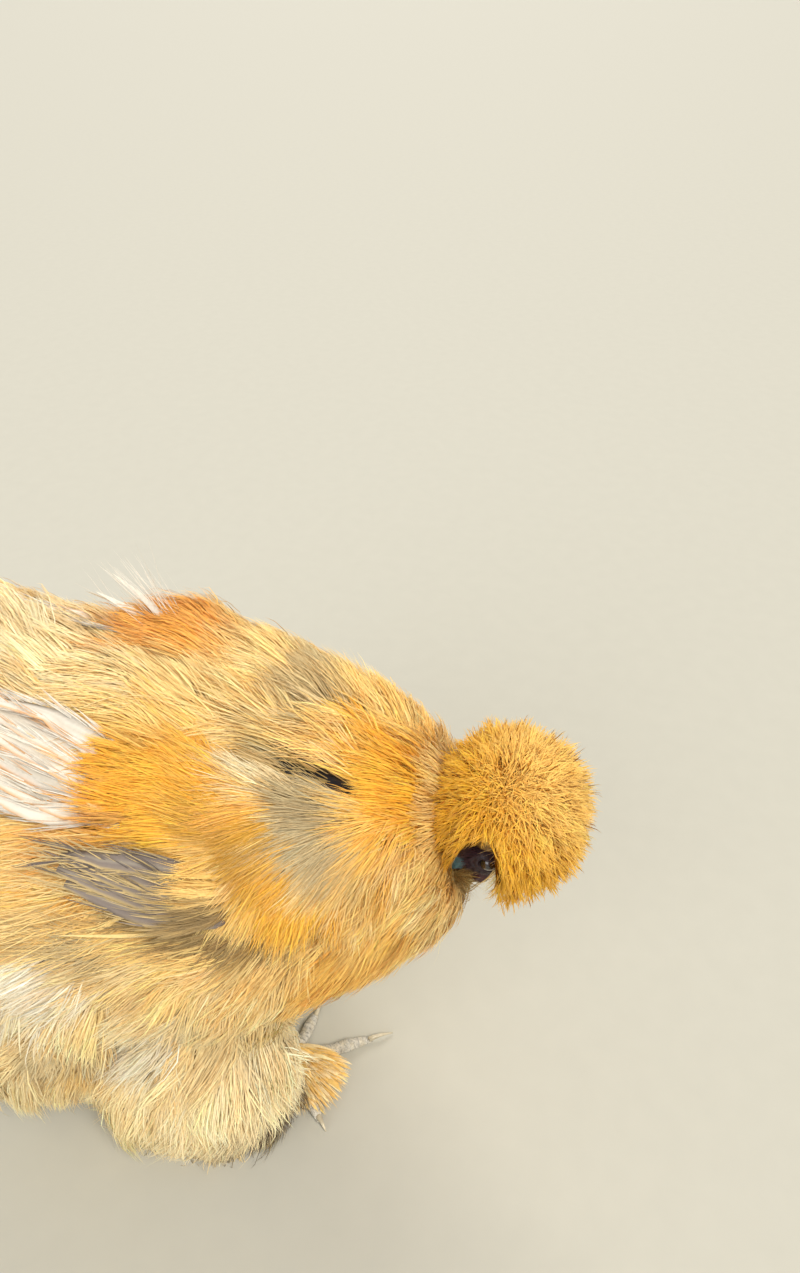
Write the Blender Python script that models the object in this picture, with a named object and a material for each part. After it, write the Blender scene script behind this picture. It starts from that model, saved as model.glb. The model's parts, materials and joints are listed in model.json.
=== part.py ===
# Buff silkie hen, life size, crouching with her head lowered.
# Metres, +Z up. She faces -Y, her left side is +X, and the floor is z = 0.
# Every solid reaches out to the tips of its plumage. What touches keeps a thin gap.

import math

import bmesh
import bpy
import numpy as np
from mathutils import Matrix, Vector, noise

MM = 0.001
GAP = 0.3 * MM
# Faces that turn less than this from each other are joined after a cut.
FLAT_ANGLE = math.radians(3)

# The body's line from the neck to the end of the tail. Each row is one station:
# y, x of the middle, half width, top z, bottom z, z where it is widest.
BODY_STATIONS = np.array([
    (-118, 12, 20, 180, 134, 156),
    (-110, 11, 36, 193, 117, 154),
    (-98, 10, 46, 202, 102, 152),
    (-78, 7, 59, 210, 86, 148),
    (-50, 4, 73, 217, 70, 142),
    (-18, 1, 87, 225, 54, 128),
    (20, 0, 99, 233, 36, 108),
    (60, 0, 110, 240, 16, 88),
    (98, 0, 115, 245, 12, 82),
    (132, 0, 108, 250, 30, 102),
    (162, 0, 92, 259, 70, 136),
    (188, 0, 69, 267, 114, 178),
    (206, 0, 44, 264, 158, 212),
    (216, 0, 16, 249, 197, 225),
]) * MM
BODY_SECTION_POWER = 2.25
BODY_RINGS = 22
BODY_SIDES = 20

# Planes that part the body: a point's y and z, and the lean of the plane from upright.
NECK_CUT = (-56 * MM, 150 * MM, math.radians(16))
CUSHION_CUT = (98 * MM, 170 * MM, math.radians(32))
TAIL_CUT = (160 * MM, 200 * MM, math.radians(38))

# The lock relief of the plumage, its depth and the size of one lock.
LOCK_DEPTH = 3.2 * MM
LOCK_LENGTH = 46 * MM
LOCK_WIDTH = 19 * MM
LEG_LOCK_LENGTH = 40 * MM
LEG_LOCK_WIDTH = 13 * MM
LEG_LOCK_SPREAD = 34 * MM
COVERT_LOCK_LENGTH = 30 * MM
COVERT_LOCK_SPREAD = 60 * MM
BODY_LOCK_SPREAD = 95 * MM

# The head: the middle of the skull, and how far the bill points down.
HEAD_MIDDLE = Vector((13, -114, 160)) * MM
HEAD_PITCH = math.radians(32)
SKULL_HALF_LENGTH = 21 * MM
SKULL_HALF_WIDTH = 13.5 * MM
SKULL_HALF_HEIGHT = 15.5 * MM
EYE_RADIUS = 4.6 * MM
CREST_RADII = Vector((45, 39, 40)) * MM
CREST_OFFSET = Vector((0, 1, 30)) * MM
# How far the crest's locks stand out, and how much fuller it hangs at the sides, as shares of its reach.
CREST_LOCKS = 0.055
CREST_SAG = 0.10
FACE_ROOM_RADII = Vector((20, 32, 19.5)) * MM
FACE_ROOM_OFFSET = Vector((0, -6, 0)) * MM

# The small bodies of the head, from the middle of the skull. Those at the sides are given for her left.
EYE_PLACE = Vector((10.4, -7.5, 3.6)) * MM
EARLOBE_PLACE = Vector((13.2, 6, -5.5)) * MM
EARLOBE_RADII = Vector((2.6, 5, 6.2)) * MM
WATTLE_PLACE = Vector((5.4, -13, -13)) * MM
WATTLE_RADII = Vector((2, 3.6, 5)) * MM
COMB_PLACE = Vector((0, -14.5, 11)) * MM
COMB_RADII = Vector((7.5, 7, 5.5)) * MM
COMB_WARTS = {"bumps": 0.22, "bump_size": 3.4 * MM}

# Each half of the bill: its top and bottom from the middle line, half width, length, and the tip's droop.
UPPER_BILL = {"top": 5.2 * MM, "bottom": -0.6 * MM, "width": 6.2 * MM, "length": 18 * MM, "droop": 4 * MM}
LOWER_BILL = {"top": -1 * MM, "bottom": -5.4 * MM, "width": 5.2 * MM, "length": 15.1 * MM, "droop": 2.4 * MM}

# The legs. Each foot's ball, and the turn of its middle toe from straight ahead, inwards.
FEET = {
    "right": {"side": -1, "ball": Vector((-36, -26, 0)) * MM, "turn": math.radians(34)},
    "left": {"side": 1, "ball": Vector((37, 22, 0)) * MM, "turn": math.radians(4)},
}
SHANK_RADIUS = 5.6 * MM
SHANK_HEIGHT = 44 * MM
SHANK_LEAN = 34 * MM
SHANK_SPREAD = 6 * MM
SHANK_FOOT = 4.2 * MM
TOE_RADIUS = 4.3 * MM
FIRST_TOE_DROP = 1.2
FIFTH_TOE_RISE = 6 * MM
FIFTH_CLAW_RISE = 3 * MM
CLAW_ARCH = 1.3 * MM
CLAW_INSET = 2.5 * MM
CLAW_RADIUS = 1.9 * MM

# The plumes over the outer toe: their spread, how far ahead of the ball they lie, and their height.
PLUME_RADIUS = 19 * MM
PLUME_REACH = 13 * MM
PLUME_MIDDLE = 5 * MM
PLUME_RISE = 9 * MM

# Each toe: its turn from the middle one (outwards is positive), length, claw length, lift of the base.
TOES = {
    1: (math.radians(-166), 19 * MM, 9 * MM, 6 * MM),
    2: (math.radians(-50), 31 * MM, 10 * MM, 0),
    3: (0, 45 * MM, 15 * MM, 0),
    4: (math.radians(78), 33 * MM, 9 * MM, 0),
    5: (math.radians(-132), 17 * MM, 10 * MM, 15 * MM),
}

COLOURS = {
    "buff": (0.80, 0.52, 0.21, 0.85),
    "deep_buff": (0.74, 0.38, 0.08, 0.85),
    "cream": (0.85, 0.68, 0.42, 0.85),
    "white": (0.80, 0.74, 0.66, 0.6),
    "mulberry": (0.07, 0.035, 0.045, 0.55),
    "turquoise": (0.16, 0.32, 0.38, 0.5),
    "slate": (0.17, 0.19, 0.22, 0.35),
    "eye_black": (0.012, 0.009, 0.008, 0.05),
    "leg_grey": (0.34, 0.32, 0.29, 0.6),
    "horn": (0.62, 0.55, 0.42, 0.35),
}


def make_collection(name, hidden=False):
    collection = bpy.data.collections.new(name)
    bpy.context.scene.collection.children.link(collection)
    collection.hide_render = hidden
    return collection


def material(name):
    """A plain Principled material in one of the bird's colours."""
    found = bpy.data.materials.get(name)
    if found:
        return found
    made = bpy.data.materials.new(name)
    made.use_nodes = True
    shader = made.node_tree.nodes["Principled BSDF"]
    red, green, blue, rough = COLOURS[name]
    shader.inputs["Base Color"].default_value = (red, green, blue, 1)
    shader.inputs["Roughness"].default_value = rough
    shader.inputs["Metallic"].default_value = 0
    return made


def finish(name, bm, colour, collection):
    """Turns a bmesh into a named, smooth-shaded object of triangles, so that each cut meets true planes."""
    bmesh.ops.triangulate(bm, faces=bm.faces)
    bmesh.ops.recalc_face_normals(bm, faces=bm.faces)
    if bm.calc_volume(signed=True) < 0:
        bmesh.ops.reverse_faces(bm, faces=bm.faces)
    mesh = bpy.data.meshes.new(name)
    bm.to_mesh(mesh)
    bm.free()
    mesh.shade_smooth()
    mesh.materials.append(material(colour))
    made = bpy.data.objects.new(name, mesh)
    collection.objects.link(made)
    whole_shapes[name] = mesh.copy()
    return made


def interpolate(table, value):
    """A row of the table at this value of its first column, on a smooth curve through the rows."""
    keys = table[:, 0]
    value = min(max(value, keys[0]), keys[-1])
    at = min(max(int(np.searchsorted(keys, value)) - 1, 0), len(keys) - 2)
    slopes = np.gradient(table, keys, axis=0)
    span = keys[at + 1] - keys[at]
    part = (value - keys[at]) / span
    near = (1 + 2 * part) * (1 - part) ** 2
    near_slope = part * (1 - part) ** 2
    far = part ** 2 * (3 - 2 * part)
    far_slope = part ** 2 * (part - 1)
    return (near * table[at] + near_slope * span * slopes[at]
            + far * table[at + 1] + far_slope * span * slopes[at + 1])


def lock_relief(point, across, length=LOCK_LENGTH, width=LOCK_WIDTH):
    """How far the plumage stands out at a point. Locks are long along y and narrow across."""
    coarse = noise.noise(Vector((across / width, point.y / length, point.z / length)))
    fine = noise.noise(Vector((2.1 * across / width, 2.3 * point.y / length + 7, 3)))
    return LOCK_DEPTH * (coarse + 0.5 * fine)


def body_point(y, angle, out=0.0):
    """A point on the plumage. The angle runs from her left side over the back to the right and the belly."""
    _, middle, half_width, top, bottom, widest = interpolate(BODY_STATIONS, y)
    power = 2 / BODY_SECTION_POWER
    rise = top - widest if math.sin(angle) > 0 else widest - bottom
    across = math.copysign(abs(math.cos(angle)) ** power, math.cos(angle))
    upward = math.copysign(abs(math.sin(angle)) ** power, math.sin(angle))
    normal = Vector((across / half_width, 0, upward / rise)).normalized()
    return Vector((middle + half_width * across, y, widest + rise * upward)) + normal * out


def loft(rings):
    """A closed solid through rings of points, each ring with the same count."""
    bm = bmesh.new()
    loops = [[bm.verts.new(point) for point in ring] for ring in rings]
    for first, second in zip(loops, loops[1:]):
        for i in range(len(first)):
            bm.faces.new((first[i - 1], first[i], second[i], second[i - 1]))
    for end in (loops[0], loops[-1]):
        bmesh.ops.triangulate(bm, faces=[bm.faces.new(end)])
    return bm


def grid_solid(outer, inner):
    """A closed plate between two grids of points with the same rows and columns."""
    bm = bmesh.new()
    rows, columns = len(outer), len(outer[0])
    sheets = [[[bm.verts.new(point) for point in row] for row in grid] for grid in (outer, inner)]
    for sheet in sheets:
        for i in range(rows - 1):
            for j in range(columns - 1):
                bm.faces.new((sheet[i][j], sheet[i + 1][j], sheet[i + 1][j + 1], sheet[i][j + 1]))
    rim = [edge for edge in bm.edges if edge.is_boundary]
    bmesh.ops.bridge_loops(bm, edges=rim)
    return bm


def ring_at(centre, forward, radius, sides):
    """A circle of points round a centre, square to the forward direction."""
    side = forward.cross(Vector((0, 0, 1))).normalized()
    rise = side.cross(forward).normalized()
    turns = [2 * math.pi * i / sides for i in range(sides)]
    return [centre + side * (radius * math.cos(t)) + rise * (radius * math.sin(t)) for t in turns]


def room_for(source):
    """The whole shape of a piece, before anything was cut from it, grown by the thin gap."""
    name = source.name + "_room"
    if name in bpy.data.objects:
        return bpy.data.objects[name]
    bm = bmesh.new()
    bm.from_mesh(whole_shapes[source.name])
    bm.normal_update()
    shifts = [vert.normal * GAP for vert in bm.verts]
    for vert, shift in zip(bm.verts, shifts):
        vert.co += shift
    room = finish(name, bm, "slate", cutters)
    room.hide_render = True
    room.display_type = "WIRE"
    return room


def keep_largest(bm):
    """Deletes every loose bit but the largest body."""
    left = set(bm.verts)
    bodies = []
    if not left:
        return
    while left:
        front = [left.pop()]
        body = list(front)
        while front:
            vert = front.pop()
            for edge in vert.link_edges:
                other = edge.other_vert(vert)
                if other in left:
                    left.remove(other)
                    front.append(other)
                    body.append(other)
        bodies.append(body)
    bodies.sort(key=len)
    for body in bodies[:-1]:
        bmesh.ops.delete(bm, geom=body, context="VERTS")


def cut_once(piece, room, solver):
    """The piece's mesh with one room cut out, and the mesh's volume."""
    cut = piece.modifiers.new("room", "BOOLEAN")
    cut.operation = "DIFFERENCE"
    cut.solver = solver
    cut.object = room
    graph = bpy.context.evaluated_depsgraph_get()
    bm = bmesh.new()
    bm.from_mesh(piece.evaluated_get(graph).data)
    piece.modifiers.remove(cut)
    keep_largest(bm)
    return bm, bm.calc_volume(signed=True)


def meets(piece, other):
    """Whether two pieces come close, from the boxes round them."""
    boxes = []
    for mesh in (piece.data, whole_shapes[other.name]):
        places = np.array([vert.co for vert in mesh.vertices])
        boxes.append((places.min(axis=0) - GAP, places.max(axis=0) + GAP))
    (low, high), (other_low, other_high) = boxes
    return bool((low < other_high).all() and (other_low < high).all())


def carve(piece, neighbours):
    """Cuts room for the neighbours out of a piece. Where one solver loses the body, the other one cuts."""
    for neighbour in neighbours:
        if not meets(piece, neighbour):
            continue
        before = bmesh.new()
        before.from_mesh(piece.data)
        least = 0.3 * before.calc_volume(signed=True)
        before.free()
        bm, volume = cut_once(piece, room_for(neighbour), "EXACT")
        if volume < least:
            bm.free()
            bm, volume = cut_once(piece, room_for(neighbour), "MANIFOLD")
        bm.to_mesh(piece.data)
        bm.free()
    bm = bmesh.new()
    bm.from_mesh(piece.data)
    bmesh.ops.dissolve_limit(bm, angle_limit=FLAT_ANGLE, verts=bm.verts, edges=bm.edges)
    bmesh.ops.triangulate(bm, faces=bm.faces)
    bm.to_mesh(piece.data)
    bm.free()
    piece.data.shade_smooth()


def side_of_plane(source, cut, keep_front, name, colour):
    """One side of the body at a leaning plane, with the plane's half of the gap taken off."""
    y, z, lean = cut
    normal = Vector((0, math.cos(lean), math.sin(lean)))
    shift = -GAP / 2 if keep_front else GAP / 2
    bm = bmesh.new()
    bm.from_mesh(source.data)
    bmesh.ops.bisect_plane(
        bm, geom=bm.verts[:] + bm.edges[:] + bm.faces[:], dist=0,
        plane_co=Vector((0, y, z)) + normal * shift, plane_no=normal,
        clear_outer=keep_front, clear_inner=not keep_front,
    )
    bmesh.ops.holes_fill(bm, edges=[edge for edge in bm.edges if edge.is_boundary])
    bmesh.ops.triangulate(bm, faces=[face for face in bm.faces if len(face.verts) > 4])
    return finish(name, bm, colour, bird)


def make_body():
    """The whole body with its locks, then its parts from the neck to the tail."""
    first, last = BODY_STATIONS[0, 0], BODY_STATIONS[-1, 0]
    rings = []
    for i in range(BODY_RINGS):
        # Rings crowd towards both ends, where the body rounds off.
        share = 0.5 - 0.5 * math.cos(math.pi * i / (BODY_RINGS - 1))
        share = 0.45 * share + 0.55 * i / (BODY_RINGS - 1)
        y = first + (last - first) * share
        ring = []
        for j in range(BODY_SIDES):
            angle = 2 * math.pi * j / BODY_SIDES
            point = body_point(y, angle)
            ring.append(body_point(y, angle, lock_relief(point, angle * BODY_LOCK_SPREAD)))
        rings.append(ring)
    whole = finish("whole_body", loft(rings), "buff", cutters)
    neck = side_of_plane(whole, NECK_CUT, True, "neck", "buff")
    behind_neck = side_of_plane(whole, NECK_CUT, False, "behind_neck", "buff")
    trunk = side_of_plane(behind_neck, CUSHION_CUT, True, "trunk", "cream")
    behind_trunk = side_of_plane(behind_neck, CUSHION_CUT, False, "behind_trunk", "cream")
    cushion = side_of_plane(behind_trunk, TAIL_CUT, True, "cushion", "cream")
    tail = side_of_plane(behind_trunk, TAIL_CUT, False, "tail", "buff")
    for spare in (whole, behind_neck, behind_trunk):
        bpy.data.objects.remove(spare)
    return neck, trunk, cushion, tail


# The wing's coverts, in stations along y: y, lower and upper angle on the body in degrees
# up from her side, and how far the plumage stands out.
COVERT_STATIONS = np.array([
    (-94 * MM, 44, 56, 1 * MM),
    (-86 * MM, 30, 64, 4 * MM),
    (-72 * MM, 22, 69, 8 * MM),
    (-52 * MM, 21, 73, 11 * MM),
    (-28 * MM, 31, 75, 12 * MM),
    (0, 46, 76, 11 * MM),
    (24 * MM, 56, 75, 9 * MM),
    (40 * MM, 64, 72, 5 * MM),
])
# The flight feathers: where they start, their length, their lower and upper angle on the body,
# how many there are, how far they stand out and how much they fan.
SECONDARIES = {
    "from": 26 * MM, "length": 86 * MM, "low": 55, "high": 73, "count": 6, "out": 5 * MM, "fan": 0.1,
}
PRIMARIES = {
    "from": -18 * MM, "length": 84 * MM, "low": 31, "high": 45, "count": 6, "out": 4 * MM, "fan": 0.3,
}
WING_INSET = 4 * MM
FEATHER_STEP = 1.1 * MM
FLIGHT_DEPTH = 3.4 * MM
FLIGHT_TAPER = 2.2 * MM
# The left wing is folded a little further back and more loosely: how much longer its arm is,
# how many degrees its lower edge drops at the rear, and how far it stands out more.
LEFT_WING_STRETCH = 22 * MM
LEFT_WING_DROP = 17
LEFT_WING_RISE = 6 * MM


def wing_angle(side, degrees):
    """The body angle on the left (side 1) or right (side -1)."""
    return math.radians(degrees) if side > 0 else math.pi - math.radians(degrees)


def wing_place(side, y):
    """The y of a station of the wings, and how much of the left wing's change it takes."""
    front, back = COVERT_STATIONS[0, 0], COVERT_STATIONS[-1, 0]
    share = min(max((y - front) / (back - front), 0), 1) if side > 0 else 0
    return y + LEFT_WING_STRETCH * share, share


def make_coverts(name, side):
    """The folded arm of the wing under its silky coverts."""
    rows, columns = 13, 7
    outer, inner = [], []
    for y in np.linspace(COVERT_STATIONS[0, 0], COVERT_STATIONS[-1, 0], rows):
        _, low, high, out = interpolate(COVERT_STATIONS, y)
        place, change = wing_place(side, y)
        low -= LEFT_WING_DROP * change
        out += LEFT_WING_RISE * change
        outer_row, inner_row = [], []
        for share in np.linspace(0, 1, columns):
            angle = wing_angle(side, low + (high - low) * share)
            crown = math.sin(math.pi * share) ** 0.6
            point = body_point(place, angle)
            relief = 0.7 * lock_relief(point, angle * COVERT_LOCK_SPREAD, COVERT_LOCK_LENGTH)
            outer_row.append(body_point(place, angle, (out + relief) * crown + 1.2 * MM))
            inner_row.append(body_point(place, angle, -WING_INSET))
        outer.append(outer_row)
        inner.append(inner_row)
    return finish(name, grid_solid(outer, inner), "deep_buff", bird)


def make_flights(name, side, sizes):
    """A fan of overlapping flight feathers as one plate with a scalloped trailing edge."""
    per_feather, rows = 3, 5
    columns = sizes["count"] * per_feather + 1
    outer, inner = [], []
    for along in np.linspace(0, 1, rows):
        outer_row, inner_row = [], []
        for j in range(columns):
            share = j / (columns - 1)
            within = j / per_feather - j // per_feather
            # Each feather ends in a round tip and lies a little over the next one.
            reach = 0.86 + 0.14 * math.sin(math.pi * within) ** 0.5
            reach *= 0.78 + 0.22 * math.sin(math.pi * (0.15 + 0.6 * share))
            y, _ = wing_place(side, sizes["from"] + sizes["length"] * reach * along)
            spread = share + (share - 0.5) * sizes["fan"] * along
            angle = wing_angle(side, sizes["low"] + (sizes["high"] - sizes["low"]) * spread)
            lift = sizes["out"] * (1 - 0.4 * along) + FEATHER_STEP * (1 - within)
            outer_row.append(body_point(y, angle, lift))
            inner_row.append(body_point(y, angle, lift - FLIGHT_DEPTH + FLIGHT_TAPER * along))
        outer.append(outer_row)
        inner.append(inner_row)
    return finish(name, grid_solid(outer, inner), "white", bird)


def head_matrix():
    return Matrix.Translation(HEAD_MIDDLE) @ Matrix.Rotation(HEAD_PITCH, 4, "X")


def make_head():
    """The skull with its cheeks and throat, from the nape to the root of the bill."""
    # Along the head: y, half width, top, bottom, all as shares of the skull's sizes.
    stations = np.array([
        (-1.0, 0.44, 0.46, -0.50),
        (-0.72, 0.66, 0.68, -0.72),
        (-0.35, 0.92, 0.93, -0.94),
        (0.1, 1.04, 1.02, -1.0),
        (0.55, 1.0, 0.95, -0.98),
        (0.95, 0.72, 0.66, -0.80),
    ])
    rings = []
    rows, sides = 8, 12
    for y in np.linspace(stations[0, 0], stations[-1, 0], rows):
        _, width, top, bottom = interpolate(stations, y)
        ring = []
        for i in range(sides):
            angle = 2 * math.pi * i / sides
            height = top if math.sin(angle) > 0 else -bottom
            ring.append(Vector((
                SKULL_HALF_WIDTH * width * math.cos(angle),
                SKULL_HALF_LENGTH * y,
                SKULL_HALF_HEIGHT * height * math.sin(angle),
            )))
        rings.append(ring)
    bm = loft(rings)
    bm.transform(head_matrix())
    return finish("head", bm, "mulberry", bird)


def make_bill(name, top, bottom, width, length, droop):
    """Half a bill: a tapering wedge whose tip bends down."""
    rings = []
    root = -SKULL_HALF_LENGTH * 0.86
    rows, sides = 5, 8
    for along in np.linspace(0, 1, rows):
        taper = math.sqrt(1 - 0.97 * along ** 1.6)
        centre = Vector((0, root - length * along, 0))
        ring = []
        for j in range(sides):
            angle = 2 * math.pi * j / sides
            height = top if math.sin(angle) > 0 else -bottom
            drop = droop * along ** 2
            ring.append(centre + Vector((
                width * taper * math.cos(angle), 0,
                (top + bottom) / 2 * (1 - taper) + height * taper * math.sin(angle) - drop,
            )))
        rings.append(ring)
    bm = loft(rings)
    bm.transform(head_matrix())
    return finish(name, bm, "slate", bird)


def mirrored(place, side):
    """A place given for her left side, on the left (side 1) or right (side -1)."""
    return (side * place.x, place.y, place.z)


def make_lump(name, centre, radii, colour, sides=8, rings=5, bumps=0.0, bump_size=4 * MM):
    """A round or lumpy body on the head, from a sphere."""
    bm = bmesh.new()
    bmesh.ops.create_uvsphere(bm, u_segments=sides, v_segments=rings, radius=1)
    for vert in bm.verts:
        place = Vector((vert.co.x * radii[0], vert.co.y * radii[1], vert.co.z * radii[2]))
        swell = 1 + bumps * noise.noise(place / bump_size)
        vert.co = place * swell + Vector(centre)
    bm.transform(head_matrix())
    return finish(name, bm, colour, bird)


def make_crest():
    """The pom-pom of the crest: a globe of locks that all start at the crown, fuller where it hangs."""
    bm = bmesh.new()
    bmesh.ops.create_uvsphere(bm, u_segments=20, v_segments=12, radius=1)
    for vert in bm.verts:
        direction = vert.co.normalized()
        lock = noise.noise(direction * 5.2) + 0.5 * noise.noise(direction * 11)
        sag = CREST_SAG * max(0, -direction.z) * abs(direction.x)
        reach = 1 + CREST_LOCKS * lock + sag
        vert.co = Vector([direction[k] * CREST_RADII[k] * reach for k in range(3)]) + CREST_OFFSET
    bm.transform(head_matrix())
    return finish("crest", bm, "deep_buff", bird)


def make_face_room():
    """The hollow in the crest that the face sits in."""
    bm = bmesh.new()
    bmesh.ops.create_icosphere(bm, subdivisions=2, radius=1)
    for vert in bm.verts:
        vert.co = Vector([vert.co[k] * FACE_ROOM_RADII[k] for k in range(3)]) + FACE_ROOM_OFFSET
    bm.transform(head_matrix())
    return finish("face", bm, "mulberry", cutters)


def path_solid(points, radii, sides, flat_floor=False):
    """A tapering solid along a path. With flat_floor, what would sink below z = 0 is flat there."""
    rings = []
    for i, (point, radius) in enumerate(zip(points, radii)):
        before, after = points[max(i - 1, 0)], points[min(i + 1, len(points) - 1)]
        ring = ring_at(point, (after - before).normalized(), radius, sides)
        if flat_floor:
            ring = [Vector((p.x, p.y, max(p.z, 0))) for p in ring]
        rings.append(ring)
    return loft(rings)


def toe_direction(foot, number):
    """The way a toe points, on the floor."""
    inward = -foot["side"]
    angle = foot["turn"] - TOES[number][0]
    return Vector((inward * math.sin(angle), -math.cos(angle), 0))


def make_toe(name, foot, number):
    """A scaled toe from the ball of the foot to its claw, with flat pads on the floor."""
    _, length, _, lift = TOES[number]
    direction = toe_direction(foot, number)
    count = 7
    points, radii = [], []
    for i in range(count):
        along = i / (count - 1)
        pads = 1 + 0.10 * math.cos(2 * math.pi * 3 * along)
        radius = TOE_RADIUS * (1 - 0.42 * along) * pads
        if i == count - 1:
            radius *= 0.62
        height = radius * 0.86 + lift * (1 - along) ** FIRST_TOE_DROP
        if number == 5:
            height = lift + FIFTH_TOE_RISE * along ** 1.5
        points.append(foot["ball"] + direction * (3 * MM + length * along) + Vector((0, 0, height)))
        radii.append(radius)
    bm = path_solid(points, radii, 8, flat_floor=number != 5)
    return finish(name, bm, "leg_grey", bird), points[-1]


def make_claw(name, foot, number, root):
    """A long curved claw, whose tip comes down to the floor."""
    length = TOES[number][2]
    direction = toe_direction(foot, number)
    count = 5
    points, radii = [], []
    for i in range(count):
        along = i / (count - 1)
        radius = CLAW_RADIUS * (1 - 0.8 * along)
        if number == 5:
            height = root.z + FIFTH_CLAW_RISE * along
        else:
            height = root.z * (1 - along) + 2 * GAP + CLAW_ARCH * math.sin(math.pi * along)
            height = max(height, radius)
        place = root + direction * (length * along - CLAW_INSET)
        points.append(Vector((place.x, place.y, height)))
        radii.append(radius)
    return finish(name, path_solid(points, radii, 6, flat_floor=number != 5), "horn", bird)


def make_shank(name, foot):
    """The scaled shank, from the ball of the foot up and back into the leg's plumage."""
    count = 7
    points, radii = [], []
    for i in range(count):
        along = i / (count - 1)
        height = SHANK_FOOT + SHANK_HEIGHT * along
        back = Vector((foot["side"] * SHANK_SPREAD * along, SHANK_LEAN * along, height))
        points.append(foot["ball"] + back)
        radii.append(SHANK_RADIUS * (1.22 - 0.35 * math.sin(math.pi * min(along * 1.2, 1))))
    bm = path_solid(points, radii, 8)
    for vert in bm.verts:
        vert.co.z = max(vert.co.z, 0)
    return finish(name, bm, "leg_grey", bird)


def make_leg(name, foot):
    """The folded leg in its loose plumage. She crouches, so the hock inside it rests on a small flat."""
    # Up the leg: z, sideways and backward from the ball, half width, half length.
    stations = np.array([
        (0, 28, 46, 15, 25),
        (3, 28, 41, 32, 48),
        (13, 29, 41, 35, 53),
        (34, 30, 43, 38, 59),
        (62, 28, 46, 42, 63),
        (92, 20, 48, 41, 60),
        (116, 10, 50, 30, 46),
    ]) * MM
    rings = []
    sides = 16
    heights = [0, 3 * MM, *np.linspace(13 * MM, stations[-1, 0], 6)]
    for z in heights:
        _, out, back, width, length = interpolate(stations, z)
        centre = foot["ball"] + Vector((foot["side"] * out, back, z))
        ring = []
        for i in range(sides):
            angle = 2 * math.pi * i / sides
            point = centre + Vector((width * math.cos(angle), length * math.sin(angle), 0))
            around = angle * LEG_LOCK_SPREAD + foot["side"]
            relief = 0.9 * lock_relief(Vector((0, z, 0)), around, LEG_LOCK_LENGTH, LEG_LOCK_WIDTH)
            ring.append(point + Vector((math.cos(angle), math.sin(angle), 0)) * relief)
        rings.append(ring)
    return finish(name, loft(rings), "cream", bird)


def make_foot_plume(name, foot):
    """The short plumes that lie over the outer toe and the root of the middle toe."""
    bm = bmesh.new()
    bmesh.ops.create_uvsphere(bm, u_segments=12, v_segments=6, radius=1)
    heading = toe_direction(foot, 4).lerp(toe_direction(foot, 3), 0.3).normalized()
    across = Vector((-heading.y, heading.x, 0))
    for vert in bm.verts:
        fan = 1 + 0.35 * vert.co.x
        lobe = 1 + 0.10 * noise.noise(Vector((5 * vert.co.y, 3 * vert.co.x, foot["side"])))
        ahead = heading * (PLUME_RADIUS * vert.co.x + PLUME_REACH) * lobe
        height = max(PLUME_MIDDLE + PLUME_RISE * vert.co.z, 2 * GAP)
        vert.co = foot["ball"] + ahead + across * (PLUME_RADIUS * vert.co.y * fan) + Vector((0, 0, height))
    return finish(name, bm, "buff", bird)


def make_foot(side_name):
    """Everything below the belly on one side."""
    foot = FEET[side_name]
    shank = make_shank("shank_" + side_name, foot)
    toes, claws = [], []
    for number in TOES:
        toe, tip = make_toe(f"toe_{side_name}_{number}", foot, number)
        claw = make_claw(f"claw_{side_name}_{number}", foot, number, tip)
        toes.append(toe)
        claws.append(claw)
    for number, toe in enumerate(toes):
        carve(claws[number], [shank])
        carve(toe, [shank, claws[number]] + toes[:number])
    leg = make_leg("leg_" + side_name, foot)
    plume = make_foot_plume("foot_plume_" + side_name, foot)
    carve(plume, [shank] + toes + claws)
    carve(leg, [shank, plume] + toes + claws)
    return leg


def rest_on_origin(collection):
    """Moves the bird so that the middle of the underside of her box is the origin."""
    corners = [corner.co for piece in collection.objects for corner in piece.data.vertices]
    low = Vector([min(c[k] for c in corners) for k in range(3)])
    high = Vector([max(c[k] for c in corners) for k in range(3)])
    shift = Vector((-(low.x + high.x) / 2, -(low.y + high.y) / 2, -low.z))
    for piece in collection.objects:
        piece.data.transform(Matrix.Translation(shift))
    return shift


for startup_object in list(bpy.data.objects):
    bpy.data.objects.remove(startup_object)
bird = make_collection("silkie_hen")
cutters = make_collection("cutters", hidden=True)
whole_shapes = {}

neck, trunk, cushion, tail = make_body()

wings, flights = [], []
for side_name, side in (("right", -1), ("left", 1)):
    wings.append(make_coverts("wing_" + side_name, side))
    flights.append(make_flights("secondaries_" + side_name, side, SECONDARIES))
    flights.append(make_flights("primaries_" + side_name, side, PRIMARIES))
for wing in wings:
    carve(wing, flights)

head = make_head()
eyes, lobes, wattles = [], [], []
for side_name, side in (("right", -1), ("left", 1)):
    globe = (EYE_RADIUS,) * 3
    eyes.append(make_lump("eye_" + side_name, mirrored(EYE_PLACE, side), globe, "eye_black", 10, 6))
    lobes.append(make_lump("earlobe_" + side_name, mirrored(EARLOBE_PLACE, side), EARLOBE_RADII, "turquoise"))
    wattles.append(make_lump("wattle_" + side_name, mirrored(WATTLE_PLACE, side), WATTLE_RADII, "mulberry"))
comb = make_lump("comb", COMB_PLACE, COMB_RADII, "mulberry", 10, 6, **COMB_WARTS)
bill_upper = make_bill("bill_upper", **UPPER_BILL)
bill_lower = make_bill("bill_lower", **LOWER_BILL)
crest = make_crest()
small = eyes + lobes + wattles + [comb, bill_upper, bill_lower]
carve(bill_upper, [comb])
carve(bill_lower, [bill_upper])
carve(head, small)
carve(crest, [make_face_room()])

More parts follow.
